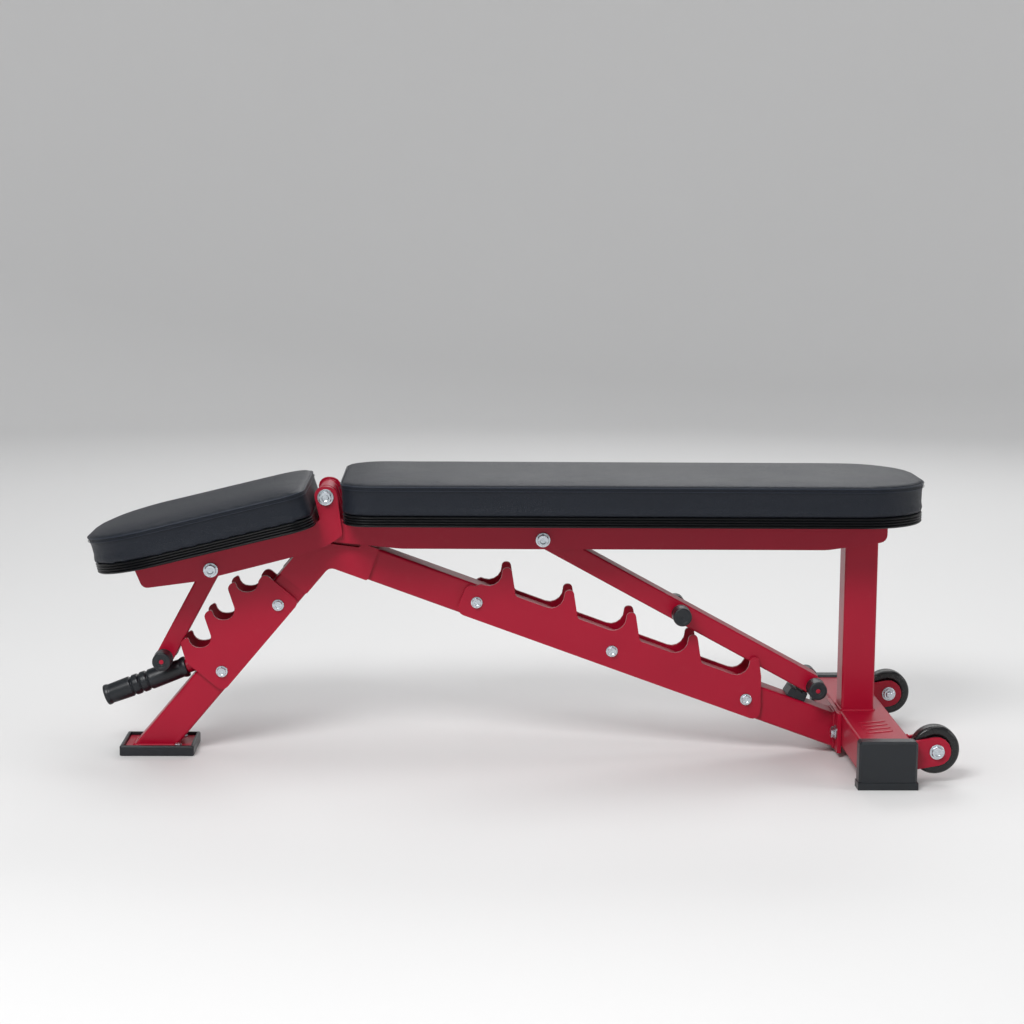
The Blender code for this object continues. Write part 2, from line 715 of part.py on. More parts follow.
def make_base_cap(side_name, side):
    """A moulded end cap that sleeves over the base tube and stands on the floor."""
    outer, inner = BASE_WIDTH / 2, BASE_WIDTH / 2 - CAP_DEPTH
    low_y, high_y = both_sides(inner, outer, side)
    front, rear = BASE_FRONT - CAP_WALL, BASE_REAR + CAP_WALL
    low, high = at(front, 0, low_y), at(rear, BASE_TOP + CAP_WALL * 0.8, high_y)
    cap = box("base_cap_" + side_name, low, high, RUBBER, 0.0035)
    foot_low = at(front - CAP_FOOT_LIP, 0, low_y - CAP_FOOT_LIP * (side < 0))
    foot_high = at(rear + CAP_FOOT_LIP, CAP_FOOT_HEIGHT, high_y + CAP_FOOT_LIP * (side > 0))
    join(cap, box("cap_foot_" + side_name, foot_low, foot_high, None))
    hole_low, hole_high = both_sides(inner - 0.01, outer - CAP_WALL, side)
    room_low = at(BASE_FRONT - GAP, BASE_CLEARANCE - GAP, hole_low)
    room_high = at(BASE_REAR + GAP, BASE_TOP + GAP, hole_high)
    cut(cap, box("cap_room_" + side_name, room_low, room_high, None))


def make_flange():
    low = at(FLANGE_FRONT, FLANGE_BOTTOM, -FLANGE_WIDTH / 2)
    high = at(FLANGE_FRONT + PLATE, FLANGE_TOP, FLANGE_WIDTH / 2)
    plate = box("spar_end_plate", low, high, PAINT)
    for side_name, side in SIDES:
        y = side * FLANGE_BOLT_SPREAD / 2
        point = at(FLANGE_FRONT - GAP, FLANGE_BOLT_HEIGHT, y)
        reach = PLATE + 2 * GAP + TUBE_WALL + 0.006
        through_bolt("flange_bolt_" + side_name, point, (1, 0, 0), 0, reach, FRAME_BOLT_RADIUS, nut=False)
        end = at(FLANGE_FRONT + 0.02, FLANGE_BOLT_HEIGHT, y)
        drill(plate, at(FLANGE_FRONT - 0.02, FLANGE_BOLT_HEIGHT, y), end, FRAME_BOLT_RADIUS + BOLT_CLEARANCE)


def make_rear_post():
    bottom = BASE_TOP + GAP
    top = CHANNEL_TOP - CHANNEL_WEB - GAP - POST_BUMPER - GAP
    box_tube("rear_post", at(POST_REACH, bottom), at(POST_REACH, top), TUBE, TUBE, TUBE_WALL, PAINT)
    half = HALF_TUBE - 0.001
    low = at(POST_REACH - half, top + GAP, -half)
    box("post_bumper", low, at(POST_REACH + half, top + GAP + POST_BUMPER, half), RUBBER, 0.002)


def make_handle():
    along = Vector((-math.cos(HANDLE_ANGLE), 0, -math.sin(HANDLE_ANGLE)))
    start = leg_point(HANDLE_START, HALF_TUBE)
    root, end = start - along * HALF_TUBE, start + along * HANDLE_LENGTH
    tube = rod("handle_tube", root, end, HANDLE_TUBE_RADIUS, PAINT, 20)
    cut_beyond(tube, leg_point(HANDLE_START, HALF_TUBE + GAP), -LEG_OUT)
    bore = HANDLE_TUBE_RADIUS + GAP
    first = HANDLE_STUB
    last = HANDLE_LENGTH + GAP
    flange, thick = GRIP_RIB_RADIUS, GRIP_RADIUS
    profile = [(last + 0.002, 0), (last + 0.002, flange - 0.002), (last, flange), (last - 0.005, flange)]
    profile += [(last - 0.010, thick), (first + 0.090, thick)]
    for rib in range(4):
        here = first + 0.084 - rib * 0.012
        profile += [(here + 0.003, thick + 0.0012), (here - 0.003, thick + 0.0012), (here - 0.006, thick)]
    profile += [(first + 0.010, thick), (first + 0.005, flange), (first, flange)]
    profile += [(first, bore), (last, bore), (last, 0)]
    turned("handle_grip", profile, start, along, RUBBER, 16)


def make_rest_bumper():
    """A ribbed rubber block on the spar that the back strut lies on."""
    foot = meeting(at(REST_BUMPER_REACH, 0), Vector((0, 0, 1)), spar_point(0, HALF_TUBE + GAP), SPAR_ALONG)
    half, wide = REST_BUMPER_LENGTH / 2, REST_BUMPER_WIDTH / 2
    corners = [(foot - SPAR_ALONG * half, 0), (foot + SPAR_ALONG * half, 0)]
    pitch = REST_BUMPER_LENGTH / REST_BUMPER_RIBS
    for rib in range(REST_BUMPER_RIBS):
        right = half - rib * pitch
        for along, out in ((right, 0), (right - pitch * 0.7, 0), (right - pitch * 0.75, -0.002), (right - pitch, -0.002)):
            corners.append((foot + SPAR_ALONG * along + SPAR_OUT * (REST_BUMPER_HEIGHT + out), 0))
    corners.pop()
    side_plate("strut_rest_bumper", corners, -wide, wide, RUBBER)


def make_hinge_bolt():
    reach = SEAT_PLATE_Y + PLATE + GAP
    through_bolt("hinge_bolt", HINGE, (0, 1, 0), -reach, reach, HINGE_BOLT_RADIUS)


def make_wheels():
    wheels = {}
    centre = at(WHEEL_REACH, WHEEL_HEIGHT)
    for side_name, side in SIDES:
        middle_y = side * (BRACKET_OUTER - PLATE - BRACKET_SPACE / 2)
        make_wheel_brackets(side_name, side, centre)
        start = centre + Vector((0, middle_y, 0))
        half, bore = WHEEL_WIDTH / 2, HUB_RADIUS + GAP
        profile = [(half, bore), (half, WHEEL_RADIUS - 0.006), (half - 0.005, WHEEL_RADIUS)]
        profile += [(0.005 - half, WHEEL_RADIUS), (-half, WHEEL_RADIUS - 0.006), (-half, bore)]
        tyre = turned("tyre_" + side_name, profile, start, (0, 1, 0), RUBBER, 24)
        hub_half, hub_bore = HUB_WIDTH / 2, FRAME_BOLT_RADIUS + BOLT_CLEARANCE
        rim = half - 0.002
        profile = [(hub_half, hub_bore), (hub_half, 0.010), (rim, 0.011), (rim, HUB_RADIUS)]
        profile += [(-rim, HUB_RADIUS), (-rim, 0.011), (-hub_half, 0.010), (-hub_half, hub_bore)]
        hub = turned("hub_" + side_name, profile, start, (0, 1, 0), HUB_PLASTIC, 20)
        outer = BRACKET_OUTER + GAP
        inner = BRACKET_OUTER - 2 * PLATE - BRACKET_SPACE - GAP
        through_bolt("wheel_axle_" + side_name, centre, (0, -side, 0), -outer, -inner, FRAME_BOLT_RADIUS)
        wheels[side_name] = (start, [tyre, hub])
    return wheels


def make_wheel_brackets(side_name, side, centre):
    root = at(BASE_REAR + GAP, WHEEL_HEIGHT - BRACKET_DROP)
    slope = (centre - root).normalized()
    across = Vector((-slope.z, 0, slope.x)) * BRACKET_HALF_HEIGHT
    upright = Vector((0, 0, 1))
    tip = centre + slope * BRACKET_HALF_HEIGHT
    low_root = meeting(root, upright, centre - across, slope)
    high_root = meeting(root, upright, centre + across, slope)
    round_end = BRACKET_HALF_HEIGHT - 0.0003
    corners = [(low_root, 0), (tip - across, round_end), (tip + across, round_end), (high_root, 0)]
    hole = [(centre, FRAME_BOLT_RADIUS + BOLT_CLEARANCE)]
    outer = both_sides(BRACKET_OUTER - PLATE, BRACKET_OUTER, side)
    inner_start = BRACKET_OUTER - 2 * PLATE - BRACKET_SPACE
    inner = both_sides(inner_start, inner_start + PLATE, side)
    side_plate(f"wheel_bracket_{side_name}_outer", corners, *outer, PAINT, hole)
    side_plate(f"wheel_bracket_{side_name}_inner", corners, *inner, PAINT, hole)


# Seat, backrest and their struts ------------------------------------------------------


def pad_outline(length, round_corner, square_corner, half):
    """The plan of a pad that starts at x = 0, with its rounder end at x = length."""
    corners = [(0, -half, square_corner), (length, -half, round_corner)]
    return rounded(corners + [(length, half, round_corner), (0, half, square_corner)])


def make_pad(name, length, height, matrix):
    """A plain closed cushion with its top edge rounded over."""
    plan = pad_outline(length, PAD_ROUND_CORNER, PAD_SQUARE_CORNER, PAD_WIDTH / 2)
    thick = height - BOARD - GAP
    lift = Matrix.Translation((0, 0, BOARD + GAP + thick / 2))
    pad = slab(name, [plan], thick, lift, VINYL)
    top = [edge for edge in pad.data.edges if all(pad.data.vertices[v].co.z > height - 1e-5 for v in edge.vertices)]
    weights = pad.data.attributes.new("bevel_weight_edge", "FLOAT", "EDGE")
    for edge in top:
        weights.data[edge.index].value = 1.0
    pad.data.transform(matrix)
    bevel = pad.modifiers.new("round_top", "BEVEL")
    bevel.limit_method = "WEIGHT"
    bevel.width = PAD_TOP_ROUND
    bevel.segments = 2
    return pad


def make_board(name, length, matrix):
    inset = BOARD_INSET
    plan = pad_outline(
        length - 2 * inset, PAD_ROUND_CORNER - inset, PAD_SQUARE_CORNER - inset, PAD_WIDTH / 2 - inset
    )
    thick = BOARD - GAP
    placed = matrix @ Matrix.Translation((inset, 0, GAP + thick / 2))
    return slab(name, [plan], thick, placed, PLYWOOD)


def make_seat_cushion():
    start = seat_vector(SEAT_PAD_START, -SEAT_DROP)
    turn = Matrix.Rotation(math.pi, 4, "Z") @ Matrix.Rotation(SEAT_TILT, 4, "Y")
    matrix = Matrix.Translation(start) @ turn
    pad = make_pad("seat_pad", SEAT_PAD_LENGTH, SEAT_PAD_HEIGHT, matrix)
    board = make_board("seat_board", SEAT_PAD_LENGTH, matrix)
    return [pad, board]


def make_seat_frame():
    """Two long side plates with hinge lugs, joined by a web under the board."""
    under = -SEAT_DROP - GAP
    lug = KNUCKLE_RADIUS + 0.002
    corners = [
        (HINGE + Vector((lug, 0, lug)), lug - 0.0002),
        (HINGE + Vector((lug + 0.009, 0, -0.0570)), 0.004),
        (HINGE + Vector((0.004, 0, -0.0720)), 0.020),
        (seat_vector(0.0700, -0.0760), 0.060),
        (seat_vector(0.2180, -0.0780), 0.030),
        (seat_vector(0.2980, -0.0695), 0.011),
        (seat_vector(0.3040, under), 0.002),
        (seat_vector(lug, under), 0.004),
        (meeting(seat_vector(lug, 0), SEAT_DOWN, HINGE + Vector((0, 0, lug)), Vector((1, 0, 0))), lug - 0.002),
    ]
    holes = [(HINGE, HINGE_BOLT_RADIUS + BOLT_CLEARANCE), (at(*SEAT_STRUT_PIVOT), FRAME_BOLT_RADIUS + BOLT_CLEARANCE)]
    frame = side_plate("seat_frame", corners, -SEAT_PLATE_Y - PLATE, -SEAT_PLATE_Y, PAINT, holes)
    far = side_plate("seat_frame_far_side", corners, SEAT_PLATE_Y, SEAT_PLATE_Y + PLATE, None, holes)
    join(frame, far)
    web = [
        (seat_vector(0.0700, under), 0),
        (seat_vector(0.2900, under), 0),
        (seat_vector(0.2900, under - SEAT_WEB), 0),
        (seat_vector(0.0700, under - SEAT_WEB), 0),
    ]
    reach = SEAT_PLATE_Y + PLATE / 2
    join(frame, side_plate("seat_web", web, -reach, reach, None))
    return frame


def make_back_cushion():
    matrix = Matrix.Translation(at(BACK_PAD_START, CHANNEL_TOP + GAP))
    pad = make_pad("back_pad", BACK_PAD_LENGTH, PAD_HEIGHT, matrix)
    board = make_board("back_board", BACK_PAD_LENGTH, matrix)
    return [pad, board]


def make_back_frame():
    """An upside-down channel with hinge lugs at one end and sleeves round the hinge bolt."""
    start, end = at(CHANNEL_START, CHANNEL_TOP), at(CHANNEL_END, CHANNEL_TOP)
    flat = at(0.112, CHANNEL_BOTTOM)
    rise = 0.0110
    left = seat_vector(KNUCKLE_RADIUS, 0)
    low = meeting(left, SEAT_DOWN, at(0, CHANNEL_BOTTOM + rise), Vector((1, 0, 0)))
    high = meeting(left, SEAT_DOWN, HINGE + Vector((0, 0, KNUCKLE_RADIUS)), Vector((1, 0, 0)))
    corners = [
        (end, 0.003),
        (end + Vector((0, 0, CHANNEL_BOTTOM - CHANNEL_TOP + 0.013)), 0.012),
        (end + Vector((-0.090, 0, CHANNEL_BOTTOM - CHANNEL_TOP)), 0.060),
        (flat, 0.060),
        (low, 0.010),
        (high, KNUCKLE_RADIUS - 0.0002),
        (HINGE + Vector((KNUCKLE_RADIUS, 0, KNUCKLE_RADIUS)), KNUCKLE_RADIUS - 0.0002),
        (HINGE + Vector((KNUCKLE_RADIUS + 0.002, 0, CHANNEL_TOP - HINGE_HEIGHT)), 0.004),
    ]
    holes = [(HINGE, HINGE_BOLT_RADIUS + BOLT_CLEARANCE), (at(*BACK_STRUT_PIVOT), FRAME_BOLT_RADIUS + BOLT_CLEARANCE)]
    outer = BACK_PLATE_Y + PLATE
    frame = side_plate("back_frame", corners, -outer, -BACK_PLATE_Y, PAINT, holes)
    join(frame, side_plate("back_frame_far_side", corners, BACK_PLATE_Y, outer, None, holes))
    reach = BACK_PLATE_Y + PLATE / 2
    web_low = start + Vector((0, -reach, -CHANNEL_WEB))
    join(frame, box("back_web", web_low, end + Vector((-0.002, reach, -0.0002)), None))
    for side_name, side in SIDES:
        inner, outer_y = side * 0.0235, side * (BACK_PLATE_Y + PLATE / 2)
        sleeve = rod("back_sleeve_" + side_name, HINGE + Vector((0, inner, 0)), HINGE + Vector((0, outer_y, 0)), KNUCKLE_RADIUS - 0.0006, None, 24)
        cut(sleeve, rod("sleeve_bore_" + side_name, HINGE + Vector((0, -0.08, 0)), HINGE + Vector((0, 0.08, 0)), HINGE_BOLT_RADIUS + BOLT_CLEARANCE, None, 16))
        join(frame, sleeve)
    return frame


def make_strut(name, pivot, bar, depth, sleeve_half):
    """A flat tube with a sleeve round its pivot bolt at one end and a cross bar at the other."""
    along = (bar - pivot).normalized()
    strut = box_tube(name, pivot + along * 0.001, bar - along * 0.001, depth, STRUT_WIDTH, STRUT_WALL, PAINT, 0.003)
    shift = Vector((0, sleeve_half, 0))
    join(strut, rod(name + "_sleeve", pivot - shift, pivot + shift, SLEEVE_RADIUS, None, 20))
    drill_across(strut, pivot, FRAME_BOLT_RADIUS + BOLT_CLEARANCE)
    drill_across(strut, bar, BAR_RADIUS + GAP, sides=20)
    return strut


def make_bar(name, point):
    half = BAR_HALF_LENGTH
    bar = rod(name, point - Vector((0, half, 0)), point + Vector((0, half, 0)), BAR_RADIUS, PAINT, 20)
    pieces = [bar]
    for side_name, side in SIDES:
        end = half + BAR_CAP_END + GAP
        start = end - BAR_CAP_LENGTH
        bore, outer, inside = BAR_RADIUS + GAP, BAR_CAP_RADIUS, half + GAP
        profile = [(end, 0), (end, outer - 0.0015), (end - 0.0015, outer), (start, outer)]
        profile += [(start, bore), (inside, bore), (inside, 0)]
        pieces.append(turned(f"{name}_cap_{side_name}", profile, point, (0, side, 0), RUBBER, 16))
    return pieces


def make_back_strut():
    pivot, bar = at(*BACK_STRUT_PIVOT), at(*BACK_STRUT_BAR)
    sleeve = BACK_PLATE_Y - 0.0006
    strut = make_strut("back_strut", pivot, bar, STRUT_DEPTH, sleeve)
    grip = pivot.lerp(bar, STRUT_GRIP_SHARE)
    drill_across(strut, grip, BAR_RADIUS + GAP, sides=20)
    return [strut, *make_bar("back_strut_bar", bar), *make_bar("strut_grip_bar", grip)]


def make_seat_strut():
    pivot, bar = at(*SEAT_STRUT_PIVOT), at(*SEAT_STRUT_BAR)
    strut = make_strut("seat_strut", pivot, bar, SEAT_STRUT_DEPTH, SEAT_PLATE_Y - 0.0006)
    return [strut, *make_bar("seat_strut_bar", bar)]


def pivot_bolt(name, point, plate_y):
    reach = plate_y + PLATE + GAP
    return through_bolt(name, point, (0, 1, 0), -reach, reach, FRAME_BOLT_RADIUS)


def main():
    make_leg_and_spar()
    make_gussets()
    make_pivot_tower()
    make_ladders()
    make_front_foot()
    make_rear_base()
    make_flange()
    make_rear_post()
    make_handle()
    make_rest_bumper()
    make_hinge_bolt()
    wheels = make_wheels()
    for side_name, (centre, pieces) in wheels.items():
        hang(empty_at(f"wheel_{side_name}_axis", centre), pieces)
    seat_bolt = pivot_bolt("seat_strut_bolt", at(*SEAT_STRUT_PIVOT), SEAT_PLATE_Y)
    back_bolt = pivot_bolt("back_strut_bolt", at(*BACK_STRUT_PIVOT), BACK_PLATE_Y)
    seat_axis, back_axis = empty_at("seat_axis", HINGE), empty_at("back_axis", HINGE)
    hang(seat_axis, [make_seat_frame(), *make_seat_cushion(), seat_bolt])
    hang(back_axis, [make_back_frame(), *make_back_cushion(), back_bolt])
    hang(empty_at("seat_strut_axis", at(*SEAT_STRUT_PIVOT)), make_seat_strut())
    hang(empty_at("back_strut_axis", at(*BACK_STRUT_PIVOT)), make_back_strut())


main()
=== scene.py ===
"""The visible model of an adjustable weight bench, laid out as an add-on."""

import json
import math

import bmesh
import bpy
import numpy as np
from bpy.props import FloatProperty, FloatVectorProperty, IntProperty, PointerProperty
from mathutils import Matrix, Vector
from mathutils.geometry import convex_hull_2d


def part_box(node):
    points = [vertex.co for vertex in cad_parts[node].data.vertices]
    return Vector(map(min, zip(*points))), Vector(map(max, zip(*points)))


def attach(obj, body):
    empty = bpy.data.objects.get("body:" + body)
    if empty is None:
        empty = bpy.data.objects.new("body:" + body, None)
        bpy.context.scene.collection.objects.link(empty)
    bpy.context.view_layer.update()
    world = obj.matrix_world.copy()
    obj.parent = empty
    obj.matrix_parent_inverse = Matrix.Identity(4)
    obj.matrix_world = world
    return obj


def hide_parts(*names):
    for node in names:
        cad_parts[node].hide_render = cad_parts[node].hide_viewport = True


bl_info = {
    "name": "Adjustable weight bench",
    "version": (1, 0, 0),
    "blender": (4, 5, 0),
    "location": "3D View > Sidebar > Bench",
    "description": "Dresses the frame of a weight bench with pads, grips, bolts and finishes",
    "category": "Add Mesh",
}

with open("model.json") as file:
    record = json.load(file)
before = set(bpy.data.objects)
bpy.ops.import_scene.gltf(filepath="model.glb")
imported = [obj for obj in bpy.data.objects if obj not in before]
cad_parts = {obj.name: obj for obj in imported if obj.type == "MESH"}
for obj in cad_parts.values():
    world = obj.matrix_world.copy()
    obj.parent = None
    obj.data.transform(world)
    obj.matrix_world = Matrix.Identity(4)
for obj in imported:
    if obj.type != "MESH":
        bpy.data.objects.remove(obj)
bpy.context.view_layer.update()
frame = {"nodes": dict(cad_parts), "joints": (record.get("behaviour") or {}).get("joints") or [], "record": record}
NODES = frame["nodes"]
HINGE = Vector(next(j["pos_m"] for j in frame["joints"] if j["name"] == "seat_hinge"))
BODIES = frame["record"]["behaviour"]["bodies"]
BODY_OF = {node: body for body, nodes in BODIES.items() for node in nodes}
SLOT_OF = {part["node"]: part["material_slot"] for part in frame["record"]["subparts"]}

# Faces round a bolt, points round a pad's plan, and points round a thin rod.
BOLT_COLUMNS = 72
PAD_COLUMNS = 420
ROD_COLUMNS = 10
# A radius small enough to close a pole, in metres.
POLE = 1e-5
# How far the seam's datum stands above the CAD pad, and the shoulder that joins it to the top.
SEAM_RISE = 0.003
SHOULDER_IN = 0.0062
SHOULDER_UP = 0.0042
# Frames of the cushions' cloth, and how much a weld's radius ripples.
CLOTH_FRAMES = 20
RIPPLE = 0.16


def colour_prop(name, description, default):
    return FloatVectorProperty(
        name=name, description=description, default=default, subtype="COLOR", size=3, min=0, max=1
    )


def length_prop(name, description, default):
    return FloatProperty(name=name, description=description, default=default, unit="LENGTH", precision=4)


def angle_prop(name, description, degrees):
    return FloatProperty(
        name=name, description=description, default=math.radians(degrees), unit="ROTATION", precision=2
    )


class PadSizes(bpy.types.PropertyGroup):
    """Sizes of the two cushions and of the band under them."""

    seat_tilt: angle_prop("Seat tilt", "How far the seat slopes down from the hinge", 13.8)
    square_corner: length_prop("Hinge-end corner", "Plan radius of the corners beside the hinge", 0.040)
    round_corner: length_prop("Outer corner", "Plan radius of the corners at the free end", 0.105)
    band_height: length_prop("Band height", "Height of the ribbed band under the cushion", 0.0155)
    band_inset: length_prop("Band inset", "How far the band sits inside the cushion's side", 0.0034)
    rib_depth: length_prop("Rib depth", "How far each rib of the band stands out", 0.0017)
    rib_count: IntProperty(name="Ribs", description="Number of ribs round the band", default=4, min=1)
    crown: length_prop("Crown", "How far the middle of the top rises above its seam", 0.0090)
    seam_drop: length_prop("Seam drop", "Height from the top of the crown to the seam", 0.0095)
    bow: length_prop("Side bow", "How far the side swells between its seam and the band", 0.0010)
    swell: length_prop("Most swelling", "The furthest that the cloth may move when it swells", 0.0035)
    cell: length_prop("Cloth cell", "Size of a cell of the cloth before it is smoothed", 0.0060)
    welt: length_prop("Welt radius", "Radius of the raised seam round the top", 0.0011)
    seat_lean: length_prop("Seat lean", "How far the seat's hinge end draws back at its seam", 0.0075)
    back_bulge: length_prop("Backrest bulge", "How far the backrest's hinge end swells out", 0.0030)


class MetalSizes(bpy.types.PropertyGroup):
    """Sizes of the small metal and rubber details."""

    edge: length_prop("Plate edge", "Rounding of the edges of plates and tubes", 0.0009)
    moulded_edge: length_prop("Moulded edge", "Rounding of the edges of rubber mouldings", 0.0016)
    bead: length_prop("Weld bead", "Radius of a weld bead", 0.0024)
    bead_pitch: length_prop("Bead pitch", "Distance between the ripples of a weld", 0.0030)
    handle_angle: angle_prop("Handle slope", "How far the drag handle slopes down", 20.3)


class Colours(bpy.types.PropertyGroup):
    """Base colours of the finishes."""

    paint: colour_prop("Powder coat", "Red of the steel frame", (0.360, 0.0028, 0.0240))
    vinyl: colour_prop("Vinyl", "Cover of the cushions", (0.0095, 0.0125, 0.0195))
    band: colour_prop("Band", "Glossy ribbed band", (0.0020, 0.0022, 0.0028))
    zinc: colour_prop("Zinc", "Plating of the bolts", (0.60, 0.65, 0.70))
    rubber: colour_prop("Rubber", "Caps, grips and feet", (0.0055, 0.0078, 0.0110))
    tyre: colour_prop("Tyre", "Wheel treads", (0.0040, 0.0043, 0.0052))
    plastic: colour_prop("Plastic", "Wheel hubs", (0.014, 0.014, 0.015))
    floor: colour_prop("Floor", "Plain floor and backdrop", (0.76, 0.757, 0.754))


# Shader expressions -------------------------------------------------------------------


class Flow:
    """A shader socket that can be used in sums, so that the maths reads as an expression."""

    def __init__(self, tree, socket):
        self.tree = tree
        self.socket = socket

    def maths(self, operation, *values):
        return make_node(self.tree, "ShaderNodeMath", {"operation": operation}, dict(enumerate(values)))

    def __add__(self, other):
        return self.maths("ADD", self, other)

    def __sub__(self, other):
        return self.maths("SUBTRACT", self, other)

    def __rsub__(self, other):
        return self.maths("SUBTRACT", other, self)

    def __mul__(self, other):
        return self.maths("MULTIPLY", self, other)

    __radd__ = __add__
    __rmul__ = __mul__

    def step(self, low, high):
        """0 below low, 1 above high and smooth between them."""
        return make_node(
            self.tree,
            "ShaderNodeMapRange",
            {"interpolation_type": "SMOOTHSTEP"},
            {"Value": self, "From Min": low, "From Max": high},
        )


def make_node(tree, kind, settings=(), sockets=(), output=0):
    """Adds a node, sets it up, then fills its sockets with numbers, colours or other sockets."""
    node = tree.nodes.new(kind)
    for name, value in dict(settings).items():
        setattr(node, name, value)
    for key, value in dict(sockets).items():
        if isinstance(value, Flow):
            tree.links.new(value.socket, node.inputs[key])
        else:
            node.inputs[key].default_value = value
    return Flow(tree, node.outputs[output])


class Finish:
    """A material under construction, with the patterns that the finishes share."""

    def __init__(self, name, **plain):
        self.material = bpy.data.materials.new(name)
        self.material.use_nodes = True
        self.tree = self.material.node_tree
        self.shader = self.tree.nodes["Principled BSDF"]
        self.place = make_node(self.tree, "ShaderNodeTexCoord", output="Object")
        for socket, value in plain.items():
            self.shader.inputs[socket.replace("_", " ")].default_value = value

    def node(self, kind, settings=(), sockets=(), output=0):
        return make_node(self.tree, kind, settings, sockets, output)

    def noise(self, scale, detail=2.0, rough=0.5, place=None):
        sockets = {"Vector": place or self.place, "Scale": scale, "Detail": detail, "Roughness": rough}
        return self.node("ShaderNodeTexNoise", {}, sockets)

    def cells(self, scale, feature="F1", place=None):
        sockets = {"Vector": place or self.place, "Scale": scale}
        return self.node("ShaderNodeTexVoronoi", {"feature": feature}, sockets, "Distance")

    def blend(self, share, first, second):
        colours = [(*c, 1) if isinstance(c, tuple) else c for c in (first, second)]
        sockets = {0: share, 6: colours[0], 7: colours[1]}
        return self.node("ShaderNodeMix", {"data_type": "RGBA"}, sockets, 2)

    def stretched(self, scale):
        sockets = {"Vector": self.place, "Scale": scale}
        return self.node("ShaderNodeMapping", {}, sockets)

    def feed(self, socket, value):
        self.tree.links.new(value.socket, self.shader.inputs[socket])

    def relief(self, height, strength, distance):
        sockets = {"Strength": strength, "Distance": distance, "Height": height}
        self.feed("Normal", self.node("ShaderNodeBump", {}, sockets))


def shade(colour, factor):
    return tuple(min(1.0, channel * factor) for channel in colour)


def powder_coat(colour):
    """Sprayed coat: orange-peel relief, faint cloudiness and dusty patches."""
    made = Finish("powder_coat", IOR=1.45, Coat_Roughness=0.20, Specular_IOR_Level=0.28)
    cloud = made.noise(5.0, 3.0)
    speck = made.noise(420.0, 1.0)
    tone = made.blend(cloud, shade(colour, 0.86), shade(colour, 1.14))
    dust = made.noise(34.0, 5.0, 0.62).step(0.58, 0.80) * 0.06
    made.feed("Base Color", made.blend(dust, tone, (0.45, 0.16, 0.18)))
    made.feed("Roughness", 0.30 + cloud * 0.08 + speck * 0.06 + dust)
    made.feed("Coat Weight", 0.14 - dust * 2.0)
    peel = made.noise(900.0, 2.0, 0.55) + made.noise(260.0, 1.0) * 0.8
    made.relief(peel, 0.10, 0.0006)
    return made.material


def vinyl_leather(name, colour, grain=0.42):
    """Upholstery vinyl: pebble grain with fine creases darkened by painted shade, and a slow change of sheen."""
    made = Finish(name, IOR=1.45, Specular_IOR_Level=0.30)
    warp = made.noise(60.0, 2.0) + made.noise(16.0, 2.0, 0.5) * 3.0
    pebble = made.cells(560.0, "F1")
    crease = made.cells(300.0, "DISTANCE_TO_EDGE").step(0.0, 0.12)
    fine = made.noise(2400.0, 2.0, 0.6)
    wear = made.noise(7.0, 4.0, 0.6)
    tone = made.blend(wear, shade(colour, 0.86), shade(colour, 1.18))
    # Darker in the grain's creases: painted shade.
    tone = made.blend((1 - crease) * 0.30, tone, shade(colour, 0.45))
    made.feed("Base Color", tone)
    made.feed("Roughness", 0.33 + wear * 0.12 + fine * 0.10 + (1 - crease) * 0.10)
    made.relief(crease * 0.9 - pebble * 0.55 + fine * 0.25 + warp * 0.8, grain, 0.0005)
    return made.material


def glossy_band(colour):
    """Smooth edging strip with faint lengthwise streaks in its roughness and relief; their lighter colour is a
    painted highlight.
    """
    made = Finish("edging_strip", IOR=1.45, Specular_IOR_Level=0.22)
    streak = made.noise(60.0, 3.0, 0.6, made.stretched((0.3, 0.3, 12.0)))
    # Lighter along the streaks: painted highlight lines.
    made.feed("Base Color", made.blend(streak, shade(colour, 0.7), shade(colour, 1.9)))
    made.feed("Roughness", 0.26 + streak * 0.14)
    made.relief(streak + made.noise(700.0, 2.0) * 0.4, 0.12, 0.0006)
    return made.material


def zinc_plate(colour):
    """Bright zinc with a drawn grain, light mottling and dull spots."""
    made = Finish("zinc_plate", Metallic=1.0)
    mottle = made.cells(260.0, "F1")
    drawn = made.noise(500.0, 3.0, 0.6, made.stretched((1.0, 0.2, 1.0)))
    spot = made.noise(130.0, 4.0, 0.65).step(0.58, 0.80)
    tone = made.blend(mottle, shade(colour, 0.90), shade(colour, 1.10))
    made.feed("Base Color", made.blend(spot * 0.5, tone, (0.50, 0.50, 0.46)))
    made.feed("Roughness", 0.20 + drawn * 0.14 + spot * 0.18)
    made.relief(drawn + mottle * 0.5, 0.14, 0.0003)
    return made.material


def moulded(name, colour, rough=0.38, grain=700.0, strength=0.18):
    """Moulded rubber or plastic with a spark-eroded texture and handling marks."""
    made = Finish(name, IOR=1.5)
    texture = made.noise(grain, 3.0, 0.65)
    mark = made.noise(40.0, 4.0, 0.6)
    made.feed("Base Color", made.blend(mark, shade(colour, 0.70), shade(colour, 1.55)))
    made.feed("Roughness", rough - 0.08 + texture * 0.12 + mark.step(0.5, 0.8) * 0.12)
    made.relief(texture, strength, 0.0006)
    return made.material


def under_cloth(colour):
    """Non-woven dust cover: dimpled in a fine square pattern, with stray fibres."""
    made = Finish("dust_cover", Specular_IOR_Level=0.25)
    dimple = made.cells(520.0, "F1")
    fibre = made.noise(1500.0, 4.0, 0.7)
    made.feed("Base Color", made.blend(fibre, shade(colour, 0.7), shade(colour, 2.2)))
    made.feed("Roughness", 0.80 + fibre * 0.15)
    made.relief(dimple + fibre * 0.6, 0.5, 0.0005)
    return made.material


